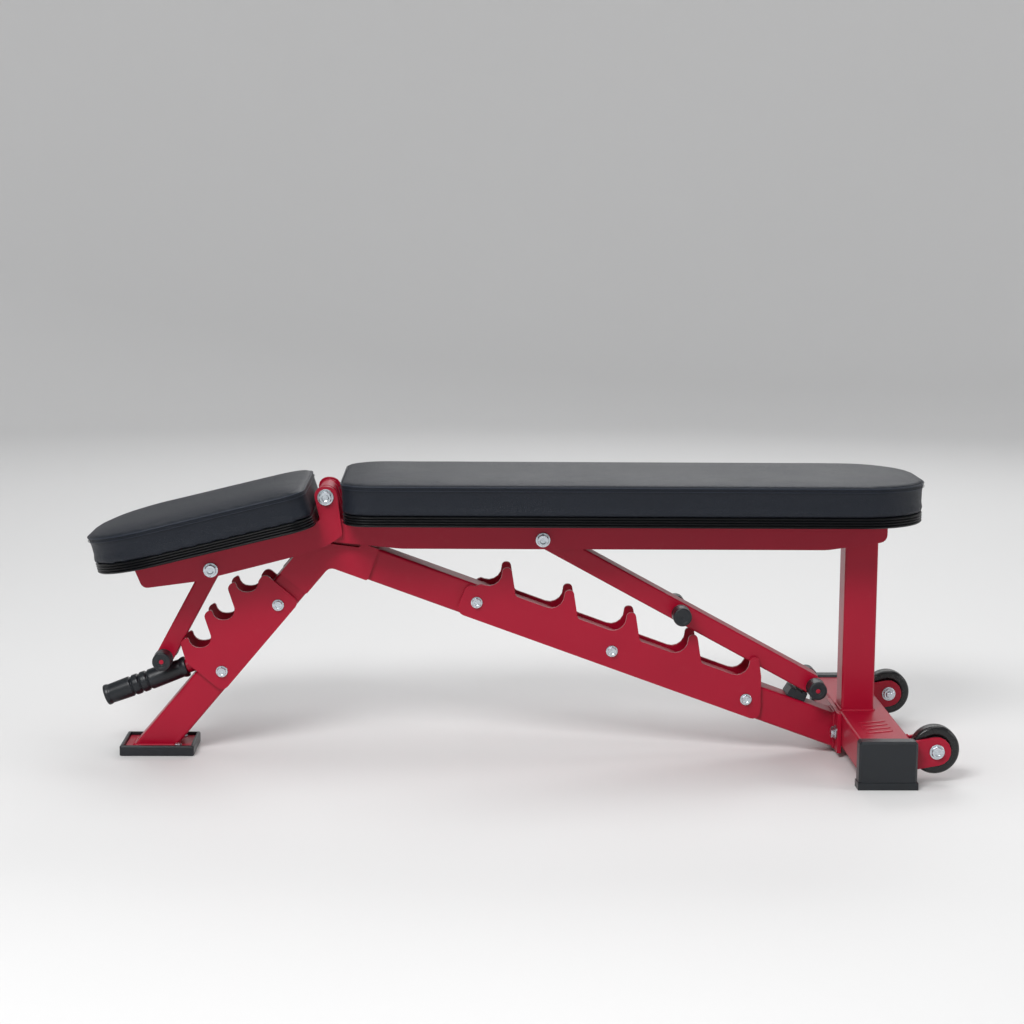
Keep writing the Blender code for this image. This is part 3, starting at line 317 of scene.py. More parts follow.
def plain_floor(colour):
    """Pale matt floor with the faintest cloudiness."""
    made = Finish("pale_floor", Specular_IOR_Level=0.3)
    cloud = made.noise(0.8, 3.0)
    made.feed("Base Color", made.blend(cloud, shade(colour, 0.985), shade(colour, 1.015)))
    made.feed("Roughness", 0.55 + cloud * 0.06)
    return made.material


FINISHES = {}


def finish(name):
    """The finish of that name, made when it is first used."""
    chosen = bpy.context.scene.bench_colours
    tints = {key: tuple(getattr(chosen, key)) for key in Colours.__annotations__}
    recipes = {
        "paint": lambda: powder_coat(tints["paint"]),
        "vinyl": lambda: vinyl_leather("seat_vinyl", tints["vinyl"]),
        # The welt's vinyl is the cushion's colour made 1.9 times lighter: a painted highlight along the seams.
        "welt": lambda: vinyl_leather("welt_vinyl", shade(tints["vinyl"], 1.9), 0.2),
        "band": lambda: glossy_band(tints["band"]),
        "zinc": lambda: zinc_plate(tints["zinc"]),
        "rubber": lambda: moulded("black_rubber", tints["rubber"]),
        "tyre": lambda: moulded("tyre_rubber", tints["tyre"], 0.30, 500.0, 0.12),
        "hub": lambda: moulded("hub_plastic", tints["plastic"], 0.38, 900.0, 0.15),
        "board": lambda: under_cloth(tints["rubber"]),
        "floor": lambda: plain_floor(tints["floor"]),
    }
    if name not in FINISHES:
        FINISHES[name] = recipes[name]()
    return FINISHES[name]


# Surfaces -----------------------------------------------------------------------------


def new_piece(name, points, faces, look, smooth_below=35.0):
    """A mesh object from arrays of points and faces, turned so that its faces point outwards."""
    mesh = bpy.data.meshes.new(name)
    mesh.from_pydata(points.tolist(), [], faces)
    mesh.update()
    body = bmesh.new()
    body.from_mesh(mesh)
    bmesh.ops.remove_doubles(body, verts=body.verts, dist=1e-7)
    bmesh.ops.recalc_face_normals(body, faces=body.faces)
    if body.calc_volume(signed=True) < 0:
        bmesh.ops.reverse_faces(body, faces=body.faces)
    body.to_mesh(mesh)
    body.free()
    mesh.shade_smooth()
    mesh.set_sharp_from_angle(angle=math.radians(smooth_below))
    mesh.materials.append(look)
    piece = bpy.data.objects.new(name, mesh)
    bpy.context.scene.collection.objects.link(piece)
    return piece


def tube_faces(rows, columns, closed_rows=False):
    """Quads between the rows of a grid whose columns go all the way round."""
    index = np.arange(rows * columns).reshape(rows, columns)
    upper = np.roll(index, -1, axis=0) if closed_rows else index[1:]
    lower = index if closed_rows else index[:-1]
    quads = np.stack([lower, np.roll(lower, -1, 1), np.roll(upper, -1, 1), upper], -1)
    return quads.reshape(-1, 4).tolist()


def closed_surface(name, grid, look, smooth_below=35.0):
    """A grid of rings, rows by columns by xyz, whose first and last rings are closed by a face."""
    rows, columns = grid.shape[:2]
    faces = tube_faces(rows, columns)
    faces.append(list(range(columns)))
    faces.append(list(range((rows - 1) * columns, rows * columns)))
    return new_piece(name, grid.reshape(-1, 3), faces, look, smooth_below)


def basis(axis):
    """Two unit vectors square to the axis and to each other."""
    axis = np.asarray(axis, float) / np.linalg.norm(axis)
    aside = np.array([0.0, 0.0, 1.0]) if abs(axis[2]) < 0.9 else np.array([1.0, 0.0, 0.0])
    first = np.cross(aside, axis)
    first /= np.linalg.norm(first)
    return axis, first, np.cross(axis, first)


def spun(centre, axis, profile, columns=96):
    """Rings of a turned shape.

    Each profile row holds the distance along the axis and the radius. A ring's point is the centre
    plus the axis times the distance, plus the radius times the cosine and sine of its turn along
    the two directions square to the axis.
    """
    axis, first, second = basis(axis)
    profile = np.asarray(profile, float)
    turn = np.linspace(0, math.tau, columns, endpoint=False)
    spokes = np.cos(turn)[:, None] * first + np.sin(turn)[:, None] * second
    along = np.asarray(centre, float) + profile[:, :1] * axis
    return along[:, None, :] + profile[:, 1][:, None, None] * spokes[None]


def turned(name, centre, axis, profile, look, columns=96):
    """A solid of revolution whose profile starts and ends on its axis or returns to its start."""
    return closed_surface(name, spun(centre, axis, profile, columns), look, 32.0)


def turned_ring(name, centre, axis, profile, look, columns=96):
    """A solid of revolution round an open bore: the profile is a closed loop."""
    grid = spun(centre, axis, profile, columns)
    faces = tube_faces(*grid.shape[:2], closed_rows=True)
    return new_piece(name, grid.reshape(-1, 3), faces, look, 32.0)


def rounded_profile(corners, steps=5):
    """A profile through (distance, radius) corners, each softened by its own radius.

    A corner is replaced by a quadratic curve that leaves the two sides at the softening distance.
    """
    rows = [np.array([[corners[0][0], corners[0][1]]])]
    share = np.linspace(0, 1, steps)[:, None]
    for before, (x, y, soft), after in zip(corners, corners[1:-1], corners[2:]):
        here = np.array([x, y])
        back, ahead = np.array(before[:2]) - here, np.array(after[:2]) - here
        start = here + back / np.linalg.norm(back) * min(soft, np.linalg.norm(back) * 0.49)
        end = here + ahead / np.linalg.norm(ahead) * min(soft, np.linalg.norm(ahead) * 0.49)
        rows.append((1 - share) ** 2 * start + 2 * share * (1 - share) * here + share**2 * end)
    rows.append(np.array([[corners[-1][0], corners[-1][1]]]))
    return np.concatenate(rows)


def mirrored_loop(bore, rows, middle=()):
    """A closed profile round a bore: the rows on one side, those in the middle, and the rows mirrored."""
    back = [(-along, radius, soft) for along, radius, soft in reversed(rows)]
    return rounded_profile([(0.0, bore, 0), *rows, *middle, *back, (-0.0005, bore, 0)])


def box_of(node):
    """Lowest and highest corner of a node."""
    low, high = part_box(node)
    return np.array(low), np.array(high)


def settle(piece, *nodes):
    """Makes a piece ride and stand for the nodes that it is made after."""
    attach(piece, BODY_OF[nodes[0]])
    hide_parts(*nodes)
    return piece


def beside(piece, body):
    """Makes an added detail ride on a body."""
    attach(piece, body)
    return piece


# Plates and tubes ---------------------------------------------------------------------


def dressed(node, look, width, segments=2, angle=28.0):
    """A smooth copy of a plate or tube, with its flat faces merged and its edges rounded."""
    body = bmesh.new()
    body.from_mesh(NODES[node].data)
    bmesh.ops.remove_doubles(body, verts=body.verts, dist=1e-6)
    bmesh.ops.dissolve_limit(
        body, angle_limit=math.radians(0.6), verts=body.verts, edges=body.edges, delimit={"NORMAL"}
    )
    mesh = bpy.data.meshes.new(node + "_dressed")
    body.to_mesh(mesh)
    body.free()
    mesh.shade_smooth()
    mesh.materials.append(look)
    piece = bpy.data.objects.new(node + "_dressed", mesh)
    bpy.context.scene.collection.objects.link(piece)
    edge = piece.modifiers.new("edge", "BEVEL")
    edge.width = width
    edge.segments = segments
    edge.limit_method = "ANGLE"
    edge.angle_limit = math.radians(angle)
    edge.use_clamp_overlap = True
    even = piece.modifiers.new("even", "WEIGHTED_NORMAL")
    even.mode = "FACE_AREA"
    even.weight = 90
    return settle(piece, node)


# Bolts --------------------------------------------------------------------------------


def hexagon(turn, flat):
    """Radius of a hexagon at each turn: the flat distance over the cosine of the turn from a flat."""
    return flat / np.cos((turn + math.pi / 6) % (math.pi / 3) - math.pi / 6)


def hex_rings(centre, axis, along, flat, chamfer):
    """Rings of a hexagon whose corners are cut by a cone.

    At each ring the radius is the smaller of the hexagon's and the cone's.
    """
    axis, first, second = basis(axis)
    turn = np.linspace(0, math.tau, BOLT_COLUMNS, endpoint=False)
    cone = np.asarray(chamfer, float)[:, None]
    radius = np.minimum(hexagon(turn, flat)[None], cone)
    spokes = np.cos(turn)[:, None] * first + np.sin(turn)[:, None] * second
    rings = np.asarray(centre, float) + np.asarray(along, float)[:, None] * axis
    return rings[:, None, :] + radius[..., None] * spokes[None]


def bolt(node, axis, nut=True):
    """A hexagon bolt along an axis, from the box of its node: head, washer, shank, washer and nut."""
    low, high = box_of(node)
    axis = np.asarray(axis, float)
    middle = (low + high) / 2
    length = float(abs((high - low) @ axis))
    across = [i for i in range(3) if abs(axis[i]) < 0.5]
    washer = float((high - low)[across[0]]) / 2
    shank = washer / 2.2
    flat, peak = shank * 1.58, shank * 1.83
    head, disc = shank * 1.2, 0.0016
    stop = length / 2
    start = -stop
    lip = 0.0003

    def discs(*rows):
        return spun(middle, axis, rows, BOLT_COLUMNS)

    def hexes(along, chamfer):
        return hex_rings(middle, axis, along, flat, chamfer)

    rings = [
        discs(
            (start + 0.0005, POLE),
            (start + 0.0005, flat * 0.50),
            (start + 0.0002, flat * 0.56),
            (start, flat * 0.62),
        ),
        hexes([start, start, start + 0.0011], [flat * 0.80, flat * 0.97, peak * 1.02]),
        hexes([start + head - 0.0002], [peak * 1.02]),
        discs(
            (start + head, washer - lip),
            (start + head + lip, washer),
            (start + head + disc - lip, washer),
            (start + head + disc, washer - lip),
            (start + head + disc, shank),
        ),
    ]
    if nut:
        rings += [
            discs(
                (stop - head - disc, shank),
                (stop - head - disc, washer - lip),
                (stop - head - disc + lip, washer),
                (stop - head - lip, washer),
                (stop - head, washer - lip),
            ),
            hexes([stop - head + 0.0002, stop - 0.0014], [peak * 1.02] * 2),
            hexes([stop - 0.0004], [flat * 0.97]),
            discs(
                (stop - 0.0004, shank * 1.12),
                (stop - 0.0010, shank),
                (stop + 0.0018, shank),
                (stop + 0.0024, shank * 0.82),
                (stop + 0.0024, POLE),
            ),
        ]
    else:
        rings.append(discs((stop - 0.001, shank), (stop, shank * 0.8), (stop, POLE)))
    grid = np.concatenate(rings)
    return settle(closed_surface(node + "_hex", grid, finish("zinc"), 25.0), node)


# Pads ---------------------------------------------------------------------------------


def plan_outline(length, half, square, wide, count):
    """Points and outward directions at equal steps round a rounded rectangle.

    It starts at the hinge end, where the corners have the smaller radius, and its far end has the
    larger one. Each corner is an arc: its centre plus the radius times the direction of the turn.
    """
    centres = [
        (length - wide, wide - half, wide, -90.0),
        (length - wide, half - wide, wide, 0.0),
        (square, half - square, square, 90.0),
        (square, square - half, square, 180.0),
    ]
    spots, directions = [], []
    for x, y, radius, first in centres:
        turn = np.radians(np.linspace(first, first + 90.0, 60))
        ray = np.stack([np.cos(turn), np.sin(turn)], 1)
        spots.append(np.array([x, y]) + radius * ray)
        directions.append(ray)
    spots, directions = np.concatenate(spots), np.concatenate(directions)
    spots = np.concatenate([spots, spots[:1]])
    directions = np.concatenate([directions, directions[:1]])
    walked = np.concatenate([[0], np.cumsum(np.linalg.norm(np.diff(spots, axis=0), axis=1))])
    steps = np.linspace(0, walked[-1], count, endpoint=False)
    points = np.stack([np.interp(steps, walked, spots[:, i]) for i in range(2)], 1)
    rays = np.stack([np.interp(steps, walked, directions[:, i]) for i in range(2)], 1)
    return points, rays / np.linalg.norm(rays, axis=1)[:, None]


class Pad:
    """A pad's box in its own frame, x from the hinge outwards and z square to its board."""

    def __init__(self, pad_node, board_node, turn, hinge_shift):
        self.hinge_shift = hinge_shift
        self.turn = np.array(turn.to_3x3())
        self.hinge = np.array(HINGE)
        low, high = self.local_box(pad_node)
        self.bottom = float(self.local_box(board_node)[0][2])
        self.start, self.end = float(low[0]), float(high[0])
        self.top, self.half = float(high[2]), float(high[1])
        self.length = self.end - self.start

    def local_box(self, node):
        """Lowest and highest corner of a node in the pad's frame."""
        inside = (read_points(NODES[node].data) - self.hinge) @ self.turn
        return inside.min(0), inside.max(0)

    def world(self, points):
        """Points of the pad's frame in the shared frame."""
        return points @ self.turn.T + self.hinge

    def seam(self, sizes):
        """Height of the seam round the top."""
        return self.top + SEAM_RISE - sizes.seam_drop

    def rings(self, inset, height, count, sizes):
        """Rings round the pad's plan: the outline moved inwards by each inset, at each height.

        The hinge end also moves along the pad, by a share of its shift that grows with the height.
        """
        points, rays = plan_outline(self.length, self.half, sizes.square_corner, sizes.round_corner, count)
        flat = points[None] - np.asarray(inset)[:, None, None] * rays[None]
        share = np.clip((np.asarray(height) - self.bottom) / (self.top - self.bottom), 0, 1)
        shift = self.hinge_shift[0] + (self.hinge_shift[1] - self.hinge_shift[0]) * share
        flat[..., 0] += self.start + shift[:, None] * np.clip(-rays[:, 0], 0, 1)[None] ** 2
        rise = np.broadcast_to(np.asarray(height)[:, None], flat.shape[:2])
        return np.concatenate([flat, rise[..., None]], -1)

    def towards_spine(self, ring, shares, heights):
        """Rings between a ring and the pad's middle line, by each share of the way out."""
        spine = ring.copy()
        reach = self.half * 0.9
        spine[:, 0] = np.clip(ring[:, 0], self.start + reach, self.end - reach)
        spine[:, 1] = 0
        shares = np.asarray(shares)[:, None, None]
        made = spine[None] + (ring - spine)[None] * shares
        made[..., 2] = np.asarray(heights)[:, None]
        return made


def swollen(piece, sizes, hold):
    """Swells a closed cushion as cloth under pressure, then keeps each point's move within a limit.

    The mesh is rebuilt in even cells, and the cloth runs for its frames. A move is scaled down
    to the limit, and by the hold function of the rest height, so that the seams stay in place.
    """
    scene = bpy.context.scene
    bpy.context.view_layer.objects.active = piece
    remesh = piece.modifiers.new("cells", "REMESH")
    remesh.mode = "VOXEL"
    remesh.voxel_size = sizes.cell
    bake_shape(piece)
    rest = read_points(piece.data)
    cloth = piece.modifiers.new("swell", "CLOTH")
    cloth.settings.use_pressure = True
    cloth.settings.uniform_pressure_force = 4.0
    cloth.settings.effector_weights.gravity = 0.0
    cloth.settings.quality = 4
    cloth.settings.mass = 0.4
    cloth.settings.tension_stiffness = 25.0
    cloth.settings.compression_stiffness = 25.0
    cloth.point_cache.frame_start, cloth.point_cache.frame_end = 1, CLOTH_FRAMES
    for step in range(1, CLOTH_FRAMES + 1):
        scene.frame_set(step)
    bake_shape(piece)
    scene.frame_set(1)
    moved = read_points(piece.data) - rest
    size = np.linalg.norm(moved, axis=1, keepdims=True)
    moved *= np.minimum(1.0, sizes.swell / np.maximum(size, 1e-9)) * hold(rest)[:, None]
    piece.data.vertices.foreach_set("co", (rest + moved).astype(np.float32).ravel())
    piece.data.update()


def bake_shape(piece):
    """Applies a piece's modifiers to its mesh."""
    graph = bpy.context.evaluated_depsgraph_get()
    mesh = bpy.data.meshes.new_from_object(piece.evaluated_get(graph))
    piece.modifiers.clear()
    piece.data = mesh
    mesh.shade_smooth()


def read_points(mesh):
    """A mesh's points as rows of three."""
    points = np.empty(len(mesh.vertices) * 3, np.float32)
    mesh.vertices.foreach_get("co", points)
    return points.reshape(-1, 3).astype(float)


def cushion(pad, name, sizes, node):
    """The stuffed body of a pad.

    Its side bows outwards between the band and the seam by a sine of the height. Its top rises from
    the shoulder by the rest of the crown times one minus the fourth power of the share of the way out.
    """
    band_top = pad.bottom + sizes.band_height
    seam = pad.seam(sizes)
    rise = np.linspace(0, 1, 14)
    side = -sizes.bow * np.sin(np.pi * rise) + 0.0012 * (1 - rise) ** 4
    heights = band_top + (seam - band_top) * rise
    edge_turn = np.linspace(0, 1, 6)[1:]
    shoulder_in = SHOULDER_IN * (1 - np.cos(edge_turn * math.pi / 2)) + 0.0014 * edge_turn
    shoulder_up = SHOULDER_UP * np.sin(edge_turn * math.pi / 2)
    wall = pad.rings(np.r_[side, shoulder_in], np.r_[heights, seam + shoulder_up], PAD_COLUMNS, sizes)
    share = 1 - np.linspace(0, 1, 26)[1:-1] ** 1.35
    crown_top = seam + SHOULDER_UP + (sizes.crown - SHOULDER_UP) * (1 - share**4)
    top = pad.towards_spine(wall[-1], share, crown_top)
    under = pad.towards_spine(wall[0], np.linspace(0, 1, 9)[1:-1], np.full(7, band_top))
    grid = np.concatenate([under, wall, top])
    piece = closed_surface(name, pad.world(grid), finish("vinyl"), 60.0)
    flat_normal = pad.turn[:, 2]
    base = float(pad.hinge @ flat_normal)

    def hold(points):
        """0 at the seam and the band, and 1 away from both."""
        height = points @ flat_normal - base
        from_seam = np.clip(np.abs(height - seam) / 0.010, 0, 1)
        from_band = np.clip((height - band_top) / 0.012, 0, 1)
        return from_seam**2 * from_band**2

    swollen(piece, sizes, hold)
    smooth = piece.modifiers.new("smooth", "SUBSURF")
    smooth.levels = smooth.render_levels = 1
    return settle(piece, node)


def welt(pad, name, sizes, node, drop, radius, inset):
    """A thin raised seam: a circle carried round the pad's outline at one height, in the welt vinyl, whose lighter
    colour is a painted highlight.
    """
    seam = pad.seam(sizes) - drop
    turn = np.linspace(0, math.tau, ROD_COLUMNS, endpoint=False)
    grid = pad.rings(inset + radius * np.cos(turn), seam + radius * np.sin(turn), 520, sizes)
    faces = tube_faces(len(turn), grid.shape[1], closed_rows=True)
    piece = new_piece(name, pad.world(grid).reshape(-1, 3), faces, finish("welt"), 60.0)
    return beside(piece, BODY_OF[node])


def ribbed_band(pad, name, sizes, board_node):
    """The edging under a pad: ribs round the side, then a flat cover under the board.

    Its inset is the band's inset less the rib depth times a power of the absolute sine of the height.
    """
    rise = np.linspace(0, 1, 12 * sizes.rib_count + 1)
    ribs = sizes.rib_depth * np.abs(np.sin(math.pi * sizes.rib_count * rise)) ** 1.4
    inset = sizes.band_inset - ribs
    heights = pad.bottom + 0.0006 + (sizes.band_height - 0.0002) * rise
    under_turn = np.linspace(0, 1, 5)[:-1]
    lip_in = sizes.band_inset + 0.0045 * (1 - np.sin(under_turn * math.pi / 2))
    lip_up = pad.bottom + 0.0001 + 0.0005 * (1 - np.cos(under_turn * math.pi / 2))
    wall = pad.rings(np.r_[lip_in, inset], np.r_[lip_up, heights], PAD_COLUMNS, sizes)
    under = pad.towards_spine(wall[0], np.linspace(0, 1, 6)[1:-1], np.full(4, pad.bottom + 0.0001))
    inner = pad.towards_spine(wall[-1], np.linspace(1, 0, 6)[1:-1], np.full(4, heights[-1] - 0.0004))
    grid = np.concatenate([under, wall, inner])
    piece = closed_surface(name, pad.world(grid), finish("band"), 50.0)
    return settle(piece, board_node)


def dust_cover(pad, name, sizes, board_node):
    """A thin cloth panel under the board, inside the cover's turned edge."""
    inset, soft = 0.0150, 0.0004
    over_rise, under_drop = 0.0006, 0.00015
    heights = pad.bottom + np.array([over_rise, 0.0, -under_drop, -under_drop])
    rows = pad.rings([inset, inset, inset - soft, inset - soft], heights, 260, sizes)
    under = pad.towards_spine(rows[-1], np.linspace(1, 0, 6)[1:-1], np.full(4, heights[-1]))
    over = pad.towards_spine(rows[0], np.linspace(0, 1, 6)[1:-1], np.full(4, heights[0]))
    grid = np.concatenate([over, rows, under])
    piece = closed_surface(name, pad.world(grid), finish("board"), 50.0)
    return beside(piece, BODY_OF[board_node])


# Weld beads ---------------------------------------------------------------------------


def bead(name, path, body, sizes, closed=True):
    """A weld: a small circle carried along a path, its radius rippling with the distance walked.

    The radius is the bead's times one plus the ripple times the absolute sine of the distance over the
    pitch. The path's own directions give the circle's plane.
    """
    path = np.asarray(path, float)
    if closed:
        path = np.concatenate([path, path[:1]])
    walked = np.concatenate([[0], np.cumsum(np.linalg.norm(np.diff(path, axis=0), axis=1))])
    count = max(12, int(walked[-1] / (sizes.bead_pitch / 5)))
    steps = np.linspace(0, walked[-1], count, endpoint=not closed)
    line = np.stack([np.interp(steps, walked, path[:, i]) for i in range(3)], 1)
    ahead = np.roll(line, -1, 0) - np.roll(line, 1, 0)
    if not closed:
        ahead[0], ahead[-1] = line[1] - line[0], line[-1] - line[-2]
    ahead /= np.linalg.norm(ahead, axis=1)[:, None] + 1e-12
    middle = line.mean(0)
    outward = line - middle + 1e-6
    side = np.cross(ahead, outward)
    side /= np.linalg.norm(side, axis=1)[:, None] + 1e-12
    up = np.cross(side, ahead)
    ripple = 1 + RIPPLE * np.abs(np.sin(math.pi * steps / sizes.bead_pitch))
    if not closed:
        ripple *= np.sqrt(np.clip(np.minimum(steps, steps[::-1]) / sizes.bead, 0.02, 1))
    turn = np.linspace(0, math.tau, ROD_COLUMNS, endpoint=False)
    circle = np.cos(turn)[None, :, None] * side[:, None] + np.sin(turn)[None, :, None] * up[:, None]
    grid = line[:, None] + sizes.bead * ripple[:, None, None] * circle
    if closed:
        faces = tube_faces(count, len(turn), closed_rows=True)
        piece = new_piece(name, grid.reshape(-1, 3), faces, finish("paint"), 60.0)
    else:
        piece = closed_surface(name, grid, finish("paint"), 60.0)
    return beside(piece, body)


def rim_of(node, way, within=0.0012):
    """The outer rim of a node's end face: the hull of its points furthest along a direction."""
    points = read_points(NODES[node].data)
    axis, first, second = basis(way)
    reach = points @ axis
    ending = points[reach > reach.max() - within]
    flat = np.stack([ending @ first, ending @ second], 1)
    hull = convex_hull_2d([tuple(row) for row in flat.tolist()])
    return ending[list(hull)]


def slanted_bar(centre, length=0.042, width=0.0110, height=0.0014, slope=0.35):
    """Rings of a low raised bar.

    The outline is a superellipse of the fourth power, sheared by the slope. It narrows at the top by
    the height of its bevel.
    """
    turn = np.linspace(0, math.tau, 48, endpoint=False)
    x = np.sign(np.cos(turn)) * np.abs(np.cos(turn)) ** 0.5
    y = np.sign(np.sin(turn)) * np.abs(np.sin(turn)) ** 0.5
    rows = []
    for inset, rise in ((0.0, -0.0004), (0.0, height * 0.4), (0.0004, height * 0.85), (0.0012, height)):
        across, deep = x * (length / 2 - inset), y * (width / 2 - inset)
        rows.append(np.stack([across, deep + slope * across, np.full_like(x, rise)], 1))
    return np.stack(rows) + centre


# Operators ----------------------------------------------------------------------------


class BenchOperator(bpy.types.Operator):
    """Shared base of the bench's operators."""

    bl_options = {"REGISTER", "UNDO"}

    @property
    def pads(self):
        return bpy.context.scene.bench_pads

    @property
    def metal(self):
        return bpy.context.scene.bench_metal


class BENCH_OT_frame(BenchOperator):
    """Gives every plate and tube rounded edges and a powder coat"""

    bl_idname = "bench.dress_frame"
    bl_label = "Frame plates and tubes"

    def execute(self, context):
        coat = finish("paint")
        for node in sorted(NODES):
            if SLOT_OF[node] == "paint" and not NODES[node].hide_render:
                round_bar = node.endswith("_bar") or node == "handle_tube"
                dressed(node, coat, self.metal.edge * (0.8 if round_bar else 1.0))
        return {"FINISHED"}


class BENCH_OT_welds(BenchOperator):
    """Adds the weld beads where tubes and plates meet"""

    bl_idname = "bench.add_welds"
    bl_label = "Weld beads"

    def execute(self, context):
        for name, node, way in (
            ("post_weld", "rear_post", (0, 0, -1)),
            ("leg_weld", "front_leg", (0, 0, -1)),
            ("spar_weld", "rear_spar", (1, 0, 0)),
        ):
            bead(name, rim_of(node, way), "frame", self.metal)
        for side in ("near", "far"):
            for place in ("inner", "outer"):
                low, high = box_of(f"wheel_bracket_{side}_{place}")
                for edge, y in (("low", low[1]), ("high", high[1])):
                    line = [(low[0] + 0.0004, y, low[2] + 0.004), (low[0] + 0.0004, y, high[2] - 0.004)]
                    bead(f"bracket_weld_{side}_{place}_{edge}", line, "frame", self.metal, closed=False)
        return {"FINISHED"}


class BENCH_OT_mark(BenchOperator):
    """Raises a plain row of slanted bars on the base tube"""

    bl_idname = "bench.add_bars"
    bl_label = "Raised bars"

    def execute(self, context):
        low, high = box_of("rear_base_tube")
        middle, top = float(low[0] + high[0]) / 2, float(high[2])
        for count in range(4):
            centre = np.array([middle, -0.098 - 0.0205 * count, top])
            piece = closed_surface(f"raised_bar_{count + 1}", slanted_bar(centre), finish("paint"), 40.0)
            beside(piece, "frame")
        return {"FINISHED"}


class BENCH_OT_pads(BenchOperator):
    """Makes the two cushions with their seams, ribbed bands and dust covers"""

    bl_idname = "bench.make_pads"
    bl_label = "Seat and backrest pads"

    def execute(self, context):
        sizes = self.pads
        turn = Matrix.Rotation(math.pi, 4, "Z") @ Matrix.Rotation(sizes.seat_tilt, 4, "Y")
        pads = {
            "seat": Pad("seat_pad", "seat_board", turn, (0.0005, sizes.seat_lean)),
            "back": Pad("back_pad", "back_board", Matrix(), (-0.0010, -sizes.back_bulge)),
        }
        for name, pad in pads.items():
            cushion(pad, name + "_cushion", sizes, name + "_pad")
            welt(pad, name + "_top_welt", sizes, name + "_pad", 0.0, sizes.welt, 0.0006)
            welt(pad, name + "_stitch_line", sizes, name + "_pad", 0.0052, sizes.welt * 0.45, -0.0003)
            ribbed_band(pad, name + "_edging", sizes, name + "_board")
            dust_cover(pad, name + "_dust_cover", sizes, name + "_board")
        return {"FINISHED"}


class BENCH_OT_bolts(BenchOperator):
    """Makes every bolt with its chamfered head, washers and nut"""

    bl_idname = "bench.make_bolts"
    bl_label = "Bolts"

    def execute(self, context):
        for node in sorted(NODES):
            if SLOT_OF[node] != "zinc":
                continue
            if node.startswith("flange"):
                bolt(node, (1, 0, 0), nut=False)
            elif node.startswith("foot"):
                bolt(node, (0, 0, -1), nut=False)
            else:
                bolt(node, (0, -1, 0) if node == "wheel_axle_far" else (0, 1, 0))
        return {"FINISHED"}


class BENCH_OT_caps(BenchOperator):
    """Makes the rubber caps on the ends of the strut bars"""

    bl_idname = "bench.make_caps"
    bl_label = "Bar caps"

    def execute(self, context):
        for bar in ("back_strut_bar", "strut_grip_bar", "seat_strut_bar"):
            for side, way in (("near", -1), ("far", 1)):
                self.cap(f"{bar}_cap_{side}", way)
        return {"FINISHED"}

    def cap(self, node, way):
        """A cap round a bar's end, with a dimple and, on the strut ends, a painted plug."""
        low, high = box_of(node)
        middle = (low + high) / 2
        radius = float(high[0] - low[0]) / 2
        half = float(high[1] - low[1]) / 2
        bore = radius * 0.79
        dimple = radius * (0.17 if node.startswith("strut_grip") else 0.36)
        profile = rounded_profile(
            [
                (half - 0.0011, POLE, 0),
                (half - 0.0011, dimple, 0.0002),
                (half - 0.0004, dimple * 1.10, 0.0003),
                (half - 0.0004, radius * 0.60, 0.0004),
                (half, radius * 0.66, 0.0004),
                (half, radius, 0.0026),
                (-half + 0.004, radius, 0.001),
                (-half + 0.004, radius * 1.03, 0.0005),
                (-half, radius * 1.03, 0.0010),
                (-half, bore, 0.0004),
                (half - 0.0015, bore, 0.0004),
                (half - 0.0015, POLE, 0),
            ]
        )
        settle(turned(node + "_moulding", middle, (0, way, 0), profile, finish("rubber")), node)
        if node.startswith("strut_grip"):
            return
        plug = rounded_profile(
            [
                (half - 0.0012, POLE, 0),
                (half - 0.0012, radius * 0.24, 0.0002),
                (half - 0.0007, radius * 0.24, 0.0003),
                (half - 0.0004, POLE, 0),
            ]
        )
        piece = turned(node + "_plug", middle, (0, way, 0), plug, finish("paint"), 48)
        beside(piece, BODY_OF[node])


class BENCH_OT_handle(BenchOperator):
    """Makes the ribbed grip of the drag handle"""

    bl_idname = "bench.make_grip"
    bl_label = "Handle grip"

    def execute(self, context):
        low, high = box_of("handle_grip")
        slope = self.metal.handle_angle
        along = (-math.cos(slope), 0, -math.sin(slope))
        thick = float(high[1] - low[1]) / 2
        length = (float(high[0] - low[0]) - 2 * thick * math.sin(slope)) / math.cos(slope)
        half, body = length / 2, thick * 0.885
        outer = rounded_profile(
            [
                (half, POLE, 0),
                (half, thick, 0.0030),
                (half - 0.0055, thick, 0.0020),
                (half - 0.0100, body, 0.0030),
                (-half + 0.0100, body, 0.0030),
                (-half + 0.0055, thick, 0.0020),
                (-half, thick, 0.0022),
                (-half, thick * 0.70, 0.0004),
            ],
            7,
        )
        spots = np.linspace(half - 0.0100, -half + 0.0100, 360)
        swell = 0.0017 * np.clip(np.cos((spots / half - 0.15) * math.pi / 2), 0, 1)
        groove = sum(np.exp(-(((spots - centre) / 0.0018) ** 2)) for centre in (-0.004, 0.009, 0.022))
        grid = np.column_stack([spots, body + swell - 0.0022 * groove])
        split = int(np.argmin(np.abs(outer[:, 0] - (half - 0.0100)) + np.abs(outer[:, 1] - body)))
        rest = outer[outer[:, 0] < -half + 0.0099]
        profile = np.concatenate([outer[: split - 1], grid, rest])
        inner = np.array([(-half, thick * 0.70), (half - 0.004, thick * 0.70), (half - 0.004, POLE)])
        profile = np.concatenate([profile, inner[1:]])
        piece = turned("handle_grip_moulding", (low + high) / 2, along, profile, finish("rubber"))
        settle(piece, "handle_grip")
        return {"FINISHED"}


